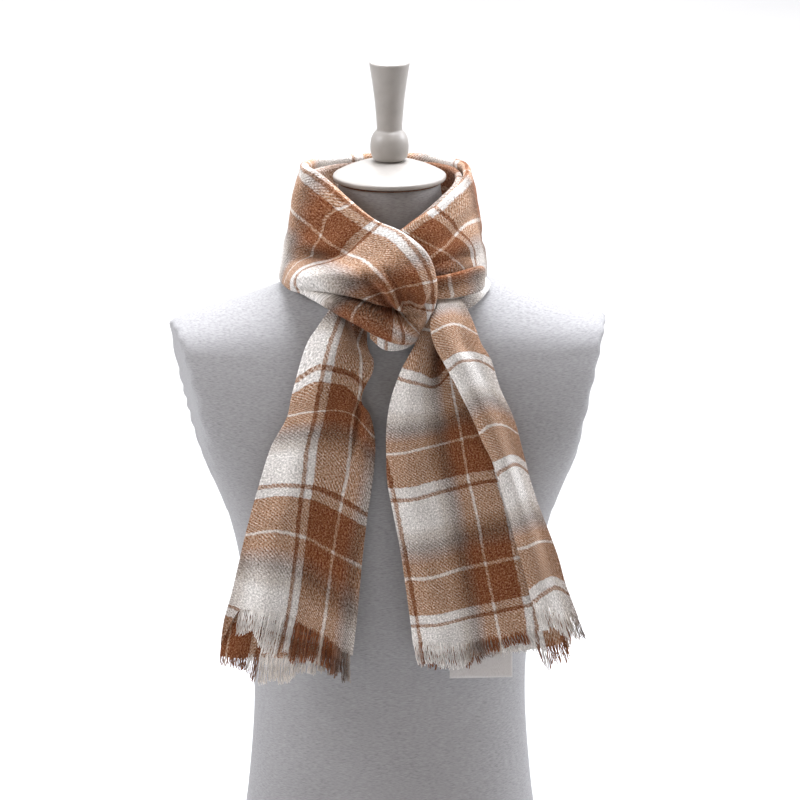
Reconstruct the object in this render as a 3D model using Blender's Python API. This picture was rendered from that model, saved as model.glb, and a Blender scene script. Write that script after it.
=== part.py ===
"""Blanket scarf tied in a pull-through loop, worn by a limbless dress form.

The form stands on its flat underside. The origin is the point of that underside below
the neck's axis, +Z is up, the wearer's front faces -Y, and +X is the onlooker's right.
Sizes in the tables are millimetres. Directions round the neck are azimuths in degrees:
0 is the front, 90 the onlooker's right, 180 the back and 270 the onlooker's left.
"""
import math

import bmesh
import bpy
import numpy as np

MM = 0.001
GAP = 0.3            # clearance between neighbouring solids
CLOTH = 2.4          # one layer of the brushed wool
LAYER_STEP = 3.3     # from one layer's middle to the next one's
BACK_TOP = 642.0     # where the right end's back layer starts, below the loop's return
# height, how much further apart an end's two layers are there
LEFT_PART = ((500, 0), (550, 1.5), (585, 2.5))
RIGHT_PART = ((500, 0.4), (540, 2.5), (575, 4.5), (630, 4.5))
WRAP = 9.0           # the scarf folded lengthwise, round the neck
NECK_RADIUS = 48.5
CAP_RADIUS = 54.0
EDGE_ROLL = 0.3      # share of a sheet's width in which its edge rounds away
STEP = 1e-3          # share of a sheet over which its slope is taken

# ---------------------------------------------------------------- dress form
# height, half width, depth to the front, depth to the back, squareness of the section
TORSO = (
    (0, 165, 100, 105, 2.2), (50, 155, 98, 101, 2.2), (110, 143, 93, 94, 2.2),
    (172, 136, 88.5, 86, 2.2), (233, 132.5, 86.5, 82, 2.2), (300, 135.5, 92, 85, 2.3),
    (360, 144, 100, 92, 2.4), (401, 152, 104, 98, 2.5), (431, 161, 106, 102, 2.6),
    (461, 176, 107.5, 106, 2.5), (491, 198, 108.5, 108, 2.5), (521, 214, 106, 109, 2.5),
    (551, 222, 100, 108, 2.5), (580, 226, 92, 105, 2.4), (595, 224, 87, 102, 2.3),
    (605, 209, 83.5, 99, 2.2), (615, 180, 79, 95, 2.1), (625, 146, 74, 90, 2.05),
    (635, 118, 68, 84, 2.0), (640.5, 103, 64, 78, 2.0), (648, 84, 60, 71, 2.0),
    (660, 69, 56, 63, 2.0), (684, 58, 53, 57, 2.0), (723, 51, 50, 51, 2.0),
    (742.4, NECK_RADIUS, NECK_RADIUS, NECK_RADIUS, 2.0),
)
TORSO_SIDES = 32
ARMHOLE_TOP = (206.0, 0.0, 597.0)      # where each armhole's flat end meets the shoulder line
ARMHOLE_FLOOR = 425.0                  # the flat ends stay above this height
ARMHOLE_LEAN = 12.0                    # degrees that it leans in, going down
ARMHOLE_FACING = 6.5                   # degrees that it is turned to the front
# radius and height up the outer side of each turned piece
CAP_PROFILE = (
    (47.0, 742.7), (53.2, 743.2), (CAP_RADIUS, 745.2), (CAP_RADIUS, 747.0), (52.6, 748.4),
    (45.0, 752.6), (34.0, 757.2), (24.0, 760.2), (14.0, 761.7),
)
FINIAL_PROFILE = (
    (13.6, 762.0), (15.6, 763.4), (18.0, 768.5), (18.6, 776.0), (17.4, 784.0),      # ball
    (14.4, 789.4), (12.2, 790.8), (12.4, 800.0), (14.0, 820.0), (17.0, 842.0),      # flaring post
    (19.3, 855.2), (18.9, 856.6), (17.6, 857.2),
)
TURNED_SIDES = 28

# ---------------------------------------------------------------- scarf round the neck
# upper edge: azimuth, radius, height; lower edge: the same; outward bow; thickness
WRAP_LEFT = (
    (373.5, 98.5, 627, 368, 102.5, 607.5, 1, 6.0), (376.5, 101, 636, 364, 104.5, 608, 3, 8.0),
    (379, 104, 647, 357, 106, 612, 5, WRAP),
    (380, 106, 660, 348, 107, 620, 6, WRAP), (379, 107, 675, 340, 107, 629, 7, WRAP),
    (376, 104, 693, 333, 106, 636, 8, WRAP), (370, 98, 706, 326, 105, 641, 8, WRAP),
    (361, 90, 716, 318, 104, 645, 8, WRAP), (348, 83, 723, 308, 103, 647, 7, WRAP),
    (331, 79, 738, 297, 102, 648, 5, WRAP), (314, 78, 752, 290, 102, 647, 4, WRAP),
    (298, 79, 760, 284, 102, 646, 3, WRAP), (281, 80, 761, 277, 101, 645, 2, WRAP),
    (265, 80, 759, 266, 101, 645, 2, WRAP), (246, 81, 755, 248, 101, 644, 2, WRAP),
    (224, 82, 753, 226, 100, 641, 3, WRAP), (201, 82, 751, 200, 97, 637, 3, WRAP),
    (178, 83, 750, 178, 96, 636, 3, WRAP), (155, 82, 751, 157, 97, 638, 3, WRAP),
    (135, 80, 752, 136, 97, 641, 3, WRAP), (118, 78, 752, 118, 95, 645, 3, WRAP),
)
WRAP_RIGHT = (
    (117.5, 78, 752, 117.5, 95, 645, 3, WRAP), (106, 75, 752, 106, 91, 646, 4, 8.5),
    (95, 72, 751, 95, 89, 646, 4, 8.0), (83, 71, 750, 83, 88, 647.5, 4, 8.0),
    (72, 70, 749, 73, 88, 654, 4, 8.0), (62, 70, 746, 62, 90, 662, 4, 8.0),
    (50, 69, 741, 51, 91, 667, 4, 8.0),
    (34, 70, 731, 41, 92, 667, 3, 8.0), (16, 73, 722, 31, 91, 666, 3, 8.0),
    (4, 76, 712, 22, 88, 665, 2, 8.0), (-8, 78, 702, 12, 86, 662, 1, 8.0),
    (-18, 78, 692, 2, 84, 658, 0, 6.0),
)
WRAP_INNER = (
    (318, 66, 733, 318, 68, 690, 0, 5.0), (300, 70.5, 744, 300, 72, 690, 0, 7.0),
    (270, 73.5, 749, 270, 75, 690, 0, 7.0), (225, 75.5, 746, 225, 77, 690, 0, 7.0),
    (180, 76.5, 744, 180, 78, 690, 0, 7.0), (140, 74.5, 746, 140, 76, 690, 0, 7.0),
    (110, 69, 747, 110, 72, 690, 0, 7.0), (85, 65.5, 746, 85, 70, 690, 0, 7.0),
    (65, 64.5, 742, 65, 69, 688, 0, 7.0), (45, 64.5, 735, 45, 69, 684, 0, 7.0),
    (25, 66, 724, 28, 69, 680, 0, 6.0), (8, 68, 710, 14, 71, 676, 0, 5.0),
)
LOOP_RETURN = (
    (60, 98.2, 668, 58, 98.7, 652, 0, 6.0), (53, 100.2, 672, 52, 101.7, 648.5, 2, 7.0),
    (44, 100.7, 673, 44, 102.7, 648, 2, 7.0), (34, 100.7, 672, 34, 102.7, 648, 2, 7.0),
    (24, 97.7, 670, 24, 100.2, 648, 2, 7.0), (14, 92.7, 668, 14, 94.7, 648, 1, 6.0),
)
COLLAR_UNDER = (
    (74, 90.5, 653, 74, 98, 644, 0, 4.5), (64, 90.5, 650.5, 64, 98, 640.5, 1, 4.5),
    (54, 88, 645, 54, 97, 635, 1, 4.5), (42, 86, 638, 42, 94, 627.5, 0, 4.0),
)
LOOP_UNDER = (
    (12, 90.7, 624, 11, 94.7, 606, 0, 3.5), (4, 98.2, 624, 3, 101.2, 602, 1, 4.0),
    (-6, 100.2, 630, -6, 103.2, 602, 1, 4.0), (-15, 98.7, 638, -14, 101.2, 612, 0, 3.5),
)

# ---------------------------------------------------------------- scarf ends
# left edge x, y, z; right edge x, y, z; outward bow; how far each edge rounds back
TAIL_LEFT = (
    (-55, -72, 652, -24, -72, 642, 3, 1, 0.5), (-61, -82, 638, -25, -81, 622, 5, 1, 0.5),
    (-73, -92, 624, -24, -88, 604, 7, 1, 0.5), (-86, -98, 606, -22, -95, 584, 8, 1, 0.5),
    (-99, -102, 562, -32, -103, 556, 8, 1, 0.4), (-104.6, -104, 538, -25, -107, 540, 7, 1, 0.4),
    (-119, -104.6, 511, -21, -109.6, 514, 6, 1, 0.4), (-129, -104.6, 479, -23, -109.6, 484, 6, 1, 0.4),
    (-141, -104.6, 436, -29, -109.6, 441, 6, 1, 0.4), (-150, -104.6, 399, -34, -109.6, 396, 6, 1, 0.4),
    (-158, -104.6, 366, -38, -109.6, 350, 6, 1, 0.4), (-165, -104.6, 340, -41, -109.6, 323, 6, 1, 0.4),
    (-170, -104.6, 303, -44, -109.5, 297, 5, 1, 0.4),
)
RIGHT_PANEL = (
    (27, -82, 641, 50, -82, 642, 2, 0.5, 0.1), (22, -90, 625, 52, -91, 628, 3, 0.5, 0.1),
    (18.5, -96, 606, 60, -96, 605, 4, 0.5, 0.1), (4, -102, 582, 70, -101, 578, 5, 0.5, 0.1),
    (-6, -107, 555, 80, -105, 553, 5, 0.5, 0.1), (-10, -110, 527, 89, -108, 526, 5, 0.5, 0.1),
    (-10, -111, 503, 97, -110, 501, 5, 0.5, 0.1), (-9, -111, 477, 106, -110, 477, 5, 0.5, 0.1),
    (-3, -111, 444, 116, -110, 447, 5, 0.5, 0.1), (3, -111, 411, 123, -110, 413, 5, 0.5, 0.1),
    (8, -111, 374, 131, -110, 376, 5, 0.5, 0.1), (12, -111, 342, 138, -110, 348, 5, 0.5, 0.1),
    (15, -110, 312, 146, -109, 322, 5, 0.5, 0.1),
)
RIGHT_ROLL = (
    (39, -86, 647.5, 60, -78, 646, 3, 1, 1), (37, -96, 641, 67, -89, 637, 7, 1, 1),
    (31, -105, 630, 75, -97, 619, 10, 1, 1), (34, -112, 612, 80, -101, 606, 10, 1, 1),
    (45, -115, 593, 88, -104, 592, 9, 1, 1), (57, -117, 571, 97, -106, 564, 8, 1, 1),
    (69, -115.9, 547, 109, -108, 537, 8, 1, 1), (81, -115.9, 520, 117, -109, 507, 7, 1, 1),
    (92, -115.9, 496, 128, -109, 467, 7, 1, 1), (104, -115.9, 454, 140, -109, 432, 6, 1, 1),
    (112, -115.9, 421, 151, -109, 402, 6, 1, 1), (121, -115.9, 386, 160, -109, 371, 5, 1, 1),
    (130, -115.9, 345, 172, -108, 338, 5, 1, 1),
)
# last row of the right end's back layer, which hangs lower than the layers before it
RIGHT_BACK_END = (17, -107, 301, 176, -105.5, 303, 4, 0.5, 0.5)
# folds: half width, then stations of (share along, share across, height); a valley is negative
FOLDS_WRAP_LEFT = (
    (9.0, (0.60, 0.76, 0.0), (0.53, 0.68, -5.5), (0.475, 0.56, -7.0), (0.435, 0.42, -5.0),
     (0.42, 0.25, 0.0)),
    (6.0, (0.47, 0.98, 0.0), (0.37, 0.875, -4.5), (0.29, 0.775, -6.5), (0.23, 0.69, -7.5),
     (0.18, 0.59, -7.5), (0.10, 0.42, -4.0)),
    (5.0, (0.33, 0.42, 0.0), (0.25, 0.40, -4.5), (0.17, 0.38, -5.5), (0.12, 0.36, -3.0)),
    (5.0, (0.30, 0.22, 0.0), (0.23, 0.24, -3.5), (0.16, 0.25, -4.0), (0.12, 0.26, -1.0)),
    (14.0, (0.34, 0.52, 0.0), (0.40, 0.62, 3.0), (0.44, 0.74, 2.5), (0.46, 0.85, 0.0)),
    (13.0, (0.62, 0.62, 0.0), (0.70, 0.50, -3.0), (0.79, 0.42, 0.0)),
    (12.0, (0.80, 0.72, 0.0), (0.87, 0.62, -3.0), (0.95, 0.66, 0.0)),
)
FOLDS_WRAP_RIGHT = (
    (9.0, (0.28, 0.30, 0.0), (0.45, 0.36, -2.5), (0.62, 0.42, -2.5), (0.75, 0.48, 0.0)),
    (9.0, (0.10, 0.75, 0.0), (0.22, 0.68, -2.5), (0.40, 0.62, 0.0)),
)
FOLDS_LEFT = (
    (9.0, (0.0, 0.62, -3.0), (0.07, 0.72, -5.5), (0.14, 0.82, -4.5), (0.20, 0.88, 0.0)),
    (7.0, (0.30, 0.97, 0.0), (0.37, 0.90, -4.5), (0.46, 0.84, -4.0), (0.56, 0.81, -2.5), (0.68, 0.80, 0.0)),
    (13.0, (0.02, 0.36, 0.0), (0.14, 0.36, 3.0), (0.30, 0.34, 2.0), (0.44, 0.33, 0.0)),
    (12.0, (0.60, 0.24, 0.0), (0.76, 0.27, -2.0), (0.92, 0.30, 0.0)),
)
FOLDS_PANEL = (
    (9.0, (0.10, 0.60, 0.0), (0.18, 0.55, -1.6), (0.28, 0.52, 0.0)),
    (12.0, (0.40, 0.30, 0.0), (0.55, 0.28, 1.2), (0.75, 0.26, 0.0)),
    (14.0, (0.45, 0.52, 0.0), (0.65, 0.54, 1.0), (0.90, 0.56, 0.0)),
)
FOLDS_ROLL = (
    (6.0, (0.10, 0.60, 0.0), (0.25, 0.61, -1.6), (0.45, 0.62, 0.0)),
    (8.0, (0.50, 0.45, 0.0), (0.68, 0.47, 1.2), (0.85, 0.50, 0.0)),
)
# hems: share across, how far the hem stands above the sheet's last row
HEM_LEFT_FRONT = ((0.0, 10), (0.06, 26), (0.14, 41), (0.35, 39), (0.59, 33), (0.75, 19), (1.0, 9))
HEM_LEFT_BACK = ((0.0, 0), (0.5, 3), (1.0, 0))
HEM_PANEL = ((0.0, 0), (0.45, 4), (0.75, 3), (1.0, 6))
HEM_ROLL = ((0.0, 6), (1.0, 0))
HEM_RIGHT_BACK = ((0.0, 2), (0.4, 0), (0.8, 3), (0.9, 4), (1.0, 16))

# ---------------------------------------------------------------- fringe and label
STRIP = 1.6          # height of the strip that a layer's fringe grows from
STRIP_GAP = 0.45     # from a layer's hem to its strip
STRAND_PITCH = 5.2
STRAND_WIDTH = 3.0
STRAND_DEPTH = 1.8
STRAND_WAIST = 0.72  # share of a strand's width and depth that is left halfway down
SPREAD_LONG = 0.10   # unevenness of the strands: share of their length,
SPREAD_ASIDE = 0.9   # millimetres that a tip strays along the hem,
SPREAD_OUT = 0.4     # and millimetres that it strays outward
TIP_OUT = 0.5        # outward place of an even strand's tip
FRINGE_SEED = 4
LABEL = (60.0, 44.0, 0.8)          # width, height and thickness of the blank care label
LABEL_CORNER = (50.0, -108.2, 323.0)

COLOURS = {                         # base colour, roughness
    "wool": ((0.30, 0.15, 0.08), 0.92),
    "wool_light": ((0.52, 0.50, 0.46), 0.92),
    "jersey": ((0.46, 0.45, 0.46), 0.85),
    "painted_wood": ((0.78, 0.77, 0.75), 0.38),
    "label": ((0.72, 0.71, 0.70), 0.45),
}


def material(name):
    """A Principled material with the named finish."""
    found = bpy.data.materials.get(name)
    if found:
        return found
    colour, roughness = COLOURS[name]
    made = bpy.data.materials.new(name)
    made.use_nodes = True
    shader = made.node_tree.nodes["Principled BSDF"]
    shader.inputs["Base Color"].default_value = (*colour, 1.0)
    shader.inputs["Roughness"].default_value = roughness
    shader.inputs["Metallic"].default_value = 0.0
    return made


def add_object(name, points, faces, finish):
    """One closed body from points in millimetres, with smooth shading."""
    mesh = bpy.data.meshes.new(name)
    mesh.from_pydata([tuple(float(c) * MM for c in p) for p in points], [], faces)
    shell = bmesh.new()
    shell.from_mesh(mesh)
    bmesh.ops.recalc_face_normals(shell, faces=shell.faces)
    shell.to_mesh(mesh)
    shell.free()
    mesh.materials.append(material(finish))
    mesh.shade_smooth()
    mesh.set_sharp_from_angle(angle=math.radians(50))
    made = bpy.data.objects.new(name, mesh)
    bpy.context.scene.collection.objects.link(made)
    return made


def through(rows, where):
    """Catmull-Rom curve through evenly spaced rows, read at shares 0 to 1 of its length."""
    rows = np.asarray(rows, float)
    padded = np.vstack([2 * rows[0] - rows[1], rows, 2 * rows[-1] - rows[-2]])
    place = np.clip(np.asarray(where, float), 0, 1) * (len(rows) - 1)
    span = np.minimum(place.astype(int), len(rows) - 2)
    t = (place - span)[..., None]
    a, b, c, d = (padded[span + k] for k in range(4))
    return 0.5 * (2 * b + (c - a) * t + (2 * a - 5 * b + 4 * c - d) * t ** 2
                  + (3 * b - a - 3 * c + d) * t ** 3)


def table_value(table, where):
    """Straight-line reading of a two-column table."""
    return np.interp(where, [row[0] for row in table], [row[1] for row in table])


def rounding(share):
    """0 at a sheet's edge, 1 from EDGE_ROLL inward, along a quarter circle."""
    x = np.clip(share / EDGE_ROLL, 0, 1)
    return np.sqrt(1 - (1 - x) ** 2)


def fold_height(folds, u, v, length, breadth):
    """Summed height of the soft folds at (u, v): a rounded groove or ridge along each route."""
    total = np.zeros_like(u)
    for half, *stations in folds:
        route = np.array([(along * length, across) for along, across, _ in stations])
        nearest, height = np.full(u.shape, np.inf), np.zeros_like(u)
        for k in range(len(route) - 1):
            run = [route[k + 1][0] - route[k][0], (route[k + 1][1] - route[k][1]) * breadth]
            px, py = u * length - route[k][0], (v - route[k][1]) * breadth
            share = np.clip((px * run[0] + py * run[1]) / (run[0] ** 2 + run[1] ** 2), 0, 1)
            away = np.hypot(px - share * run[0], py - share * run[1])
            closer = away < nearest
            nearest = np.where(closer, away, nearest)
            here = stations[k][2] * (1 - share) + stations[k + 1][2] * share
            height = np.where(closer, here, height)
        total += height * np.exp(-(nearest / half) ** 2)
    return total


def span_across(sheet, u):
    """Straight distance between a sheet's two edges."""
    return np.linalg.norm(sheet.at(u, np.ones_like(u)) - sheet.at(u, np.zeros_like(u)), axis=-1)


class Wind:
    """A stretch of scarf wound round the neck, from rows of azimuth, radius and height."""

    def __init__(self, rows, folds=()):
        self.rows, self.folds = rows, folds
        self.length = sum(math.dist(self.middle(a), self.middle(b)) for a, b in zip(rows, rows[1:]))

    @staticmethod
    def place(azimuth, radius, height):
        turn = np.radians(azimuth)
        return np.stack([radius * np.sin(turn), -radius * np.cos(turn), height + 0 * turn], axis=-1)

    def middle(self, row):
        return self.place(*[(row[k] + row[k + 3]) / 2 for k in range(3)])

    def at(self, u, v):
        row = through(self.rows, u)
        azimuth, radius, height = (row[..., k] * (1 - v) + row[..., k + 3] * v for k in range(3))
        radius = radius + row[..., 6] * np.minimum(rounding(v), rounding(1 - v))
        upper, lower = (self.place(*(row[..., k + j] for k in range(3))) for j in (0, 3))
        breadth = np.linalg.norm(lower - upper, axis=-1)
        radius = radius + fold_height(self.folds, u, v, self.length, breadth)
        return self.place(azimuth, radius, height)

    def thickness(self, u):
        return through(self.rows, u)[..., 7]

    def breadth(self, u):
        return span_across(self, u)


class Hang:
    """A scarf end hanging down the front, from rows of left and right edge points."""

    def __init__(self, rows, folds=(), hem=((0, 0), (1, 0)), back=0.0, inset=(0.0, 0.0)):
        self.rows, self.folds, self.hem, self.back, self.inset = rows, folds, hem, back, inset
        self.length = sum(math.dist(a[:3], b[:3]) for a, b in zip(rows, rows[1:]))

    def at(self, u, v):
        u = u * (1 - table_value(self.hem, v) / self.length)
        row = through(self.rows, u)
        left, right = row[..., 0:3], row[..., 3:6]
        breadth = np.linalg.norm(right - left, axis=-1)
        v = (self.inset[0] + v * (breadth - sum(self.inset))) / breadth
        place = left + (right - left) * v[..., None]
        bow = row[..., 6] * (1 - row[..., 7] * (1 - rounding(v)) - row[..., 8] * (1 - rounding(1 - v)))
        place[..., 1] -= bow + fold_height(self.folds, u, v, self.length, breadth)
        if self.back:
            place[..., 1] += self.back + table_value(LEFT_PART, place[..., 2])
        return place

    def thickness(self, u):
        return np.full(np.shape(u), CLOTH)

    def breadth(self, u):
        return span_across(self, u)


def unit(vectors):
    return vectors / np.linalg.norm(vectors, axis=-1, keepdims=True)


def outward(sheet, u, v):
    """Unit normals of a sheet, pointing away from the wearer."""
    along = sheet.at(np.minimum(u + STEP, 1), v) - sheet.at(np.maximum(u - STEP, 0), v)
    across = sheet.at(u, np.minimum(v + STEP, 1)) - sheet.at(u, np.maximum(v - STEP, 0))
    return unit(np.cross(along, across))


def shares_across(columns):
    """Places of a wall's columns across its sheet, closer together near the edges."""
    even = np.linspace(0, 1, columns + 1)
    return ((1 - np.cos(math.pi * even)) / 2 + even) / 2


def ring_faces(rings, around):
    """Quads that join each ring of points to the next one."""
    faces = []
    for base in range(0, (rings - 1) * around, around):
        for k in range(around):
            after = (k + 1) % around
            faces.append((base + k, base + after, base + around + after, base + around + k))
    return faces


def add_wall(name, sheet, rows, columns, finish, edge_points=1):
    """Thicken a sheet into a closed wall with rounded long edges and flat ends."""
    u, v = np.meshgrid(np.linspace(0, 1, rows + 1), shares_across(columns), indexing="ij")
    inset = sheet.thickness(u) / 2 / sheet.breadth(u)
    v = inset + v * (1 - 2 * inset)
    middle, normal = sheet.at(u, v), outward(sheet, u, v)
    half = (sheet.thickness(u) / 2)[..., None]
    front, back = middle + normal * half, middle - normal * half
    across = unit(sheet.at(u, np.minimum(v + STEP, 1)) - sheet.at(u, np.maximum(v - STEP, 0)))
    turns = [math.pi * (k + 1) / (edge_points + 1) for k in range(edge_points)]
    points = []
    for i in range(rows + 1):
        round_far = [math.cos(a) * normal[i, -1] + math.sin(a) * across[i, -1] for a in turns]
        round_near = [math.cos(a) * normal[i, 0] + math.sin(a) * across[i, 0] for a in turns]
        points += list(front[i])
        points += [middle[i, -1] + half[i, -1] * way for way in round_far]
        points += list(back[i][::-1])
        points += [middle[i, 0] - half[i, 0] * way for way in round_near]
    ring = 2 * (columns + 1) + 2 * edge_points
    faces = ring_faces(rows + 1, ring)
    # each end: a strip of quads between the front and back points, and two rounded corners
    for start in (0, rows * ring):
        facing = start + ring - edge_points - 1
        caps = [(start + k, start + k + 1, facing - k - 1, facing - k) for k in range(columns)]
        caps.append(tuple(start + columns + k for k in range(edge_points + 2)))
        caps.append(tuple(facing + k for k in range(edge_points + 1)) + (start,))
        faces += caps if start else [tuple(reversed(cap)) for cap in caps]
    return add_object(name, points, faces, finish)


def hem_line(sheet, columns, v0, v1, count):
    """Points along a wall's lower edge between two shares, and their shares across."""
    bottom = np.ones(columns + 1)
    inset = CLOTH / 2 / sheet.breadth(bottom)
    corners = inset + shares_across(columns) * (1 - 2 * inset)
    facets = sheet.at(bottom, corners)
    shares = np.linspace(v0, v1, count)
    return shares, np.stack([np.interp(shares, corners, facets[:, k]) for k in range(3)], axis=-1)


def add_fringe(name, sheet, columns, v0, v1, lengths, lean, finish):
    """Strands that grow from a narrow strip just below a layer's hem."""
    shares, hem = hem_line(sheet, columns, v0, v1, 400)
    run = np.concatenate([[0], np.cumsum(np.linalg.norm(np.diff(hem, axis=0), axis=1))])
    strands = int((run[-1] - STRAND_WIDTH) / STRAND_PITCH) + 1
    pitch = (run[-1] - STRAND_WIDTH) / (strands - 1)
    sides = [k * pitch + side * STRAND_WIDTH for k in range(strands) for side in (0, 1)]
    v = np.interp(sides, run, shares)
    ends = np.stack([np.interp(v, shares, hem[:, k]) for k in range(3)], axis=-1)
    normal = outward(sheet, np.ones_like(v), v)
    across = unit(np.gradient(ends, axis=0))
    square = unit(np.cross(across, normal))
    down = unit(sheet.at(np.ones_like(v), v) - sheet.at(np.ones_like(v) - 0.02, v))

    # the strip: four points at each side of each strand
    half = normal * STRAND_DEPTH / 2
    top, low = ends + square * STRIP_GAP, ends + square * (STRIP_GAP + STRIP)
    points, faces = [], []
    for k in range(len(v)):
        points += [top[k] + half[k], top[k] - half[k], low[k] - half[k], low[k] + half[k]]
    for k in range(len(v) - 1):
        a, b = 4 * k, 4 * (k + 1)
        faces += [(a, b, b + 1, a + 1), (a + 1, b + 1, b + 2, a + 2), (a + 3, b + 3, b, a)]
        if k % 2:
            faces.append((a + 2, b + 2, b + 3, a + 3))
    faces += [(0, 1, 2, 3), tuple(reversed(range(4 * len(v) - 4, 4 * len(v))))]

    # the strands: each tapers from its root in the strip through a waist to a point
    uneven = np.random.default_rng(FRINGE_SEED).uniform(-1, 1, (strands, 3))
    for k, (longer, aside, outer) in enumerate(uneven):
        left, right = 2 * k, 2 * k + 1
        long = table_value(lengths, k / (strands - 1)) * (1 + SPREAD_LONG * longer)
        drift = across[left] * (lean + SPREAD_ASIDE * aside) + normal[left] * (TIP_OUT + SPREAD_OUT * outer)
        root = (low[left] + low[right]) / 2
        waist = root + down[left] * long / 2 + drift * 0.4
        wide = across[left] * STRAND_WIDTH * STRAND_WAIST / 2
        deep = normal[left] * STRAND_DEPTH * STRAND_WAIST / 2
        ring = len(points)
        points += [waist - wide - deep, waist + wide - deep, waist + wide + deep, waist - wide + deep]
        points.append(root + down[left] * long + drift)
        start = (4 * left + 2, 4 * right + 2, 4 * right + 3, 4 * left + 3)
        for side in range(4):
            after = (side + 1) % 4
            faces.append((start[side], start[after], ring + after, ring + side))
            faces.append((ring + side, ring + after, ring + 4))
    return add_object(name, points, faces, finish)


def capped(rings, around):
    """Faces of a stack of rings, with a flat face below the first and above the last."""
    last = (rings - 1) * around
    bottom, top = tuple(reversed(range(around))), tuple(range(last, last + around))
    return ring_faces(rings, around) + [bottom, top]


def add_turned(name, profile, finish):
    """A solid of revolution about the neck's axis."""
    points = []
    for radius, height in profile:
        for k in range(TURNED_SIDES):
            turn = 2 * math.pi * k / TURNED_SIDES
            points.append((radius * math.cos(turn), radius * math.sin(turn), height))
    return add_object(name, points, capped(len(profile), TURNED_SIDES), finish)


def add_torso():
    """The form's body: level sections from the flat underside to the neck."""
    points = []
    for height, half, front, back, square in TORSO:
        for k in range(TORSO_SIDES):
            turn = 2 * math.pi * k / TORSO_SIDES
            c, s = math.cos(turn), math.sin(turn)
            x = half * math.copysign(abs(c) ** (2 / square), c)
            y = (back if s > 0 else front) * math.copysign(abs(s) ** (2 / square), s)
            points.append((x, y, height))
    torso = add_object("form_torso", points, capped(len(TORSO), TORSO_SIDES), "jersey")
    body = bmesh.new()
    body.from_mesh(torso.data)
    for side in (-1, 1):
        cut_armhole(body, side)
    bmesh.ops.recalc_face_normals(body, faces=body.faces)
    body.to_mesh(torso.data)
    body.free()
    torso.data.set_sharp_from_angle(angle=math.radians(40))
    return torso


def cut_armhole(body, side):
    """Cut one shoulder of the form off flat and close it with an oval face."""
    lean, facing = math.radians(ARMHOLE_LEAN), math.radians(ARMHOLE_FACING)
    normal = (side * math.cos(lean) * math.cos(facing), -math.sin(facing), -math.sin(lean))
    top = (side * ARMHOLE_TOP[0] * MM, ARMHOLE_TOP[1] * MM, ARMHOLE_TOP[2] * MM)
    chest = [face for face in body.faces if min(v.co.z for v in face.verts) > ARMHOLE_FLOOR * MM]
    corners = list({v for face in chest for v in face.verts})
    edges = list({edge for face in chest for edge in face.edges})
    cut = bmesh.ops.bisect_plane(body, geom=corners + edges + chest, plane_co=top, plane_no=normal,
                                 clear_outer=True)
    rim = [part for part in cut["geom_cut"] if isinstance(part, bmesh.types.BMEdge)]
    bmesh.ops.contextual_create(body, geom=rim)


def back_rows():
    """The right end's back layer: from the panel's left edge to the roll's right edge."""
    rows = []
    for panel, roll in zip(RIGHT_PANEL, RIGHT_ROLL):
        step = LAYER_STEP + table_value(RIGHT_PART, panel[2])
        left = (panel[0] + 2, panel[1] + step, min(panel[2], BACK_TOP))
        right = (roll[3] - 1, roll[4] + step, min(roll[5], BACK_TOP))
        rows.append((*left, *right, panel[6] - 1, 0.5, 0.5))
    rows[-1] = RIGHT_BACK_END
    return rows


def add_label():
    """The blank care label, sewn behind the right end's hem."""
    wide, tall, thick = LABEL
    x, y, z = LABEL_CORNER
    points = [(x + i * wide, y + j * thick, z - k * tall) for i in (0, 1) for j in (0, 1) for k in (0, 1)]
    faces = [(0, 1, 3, 2), (4, 6, 7, 5), (0, 4, 5, 1), (2, 3, 7, 6), (0, 2, 6, 4), (1, 5, 7, 3)]
    return add_object("care_label", points, faces, "label")


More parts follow.
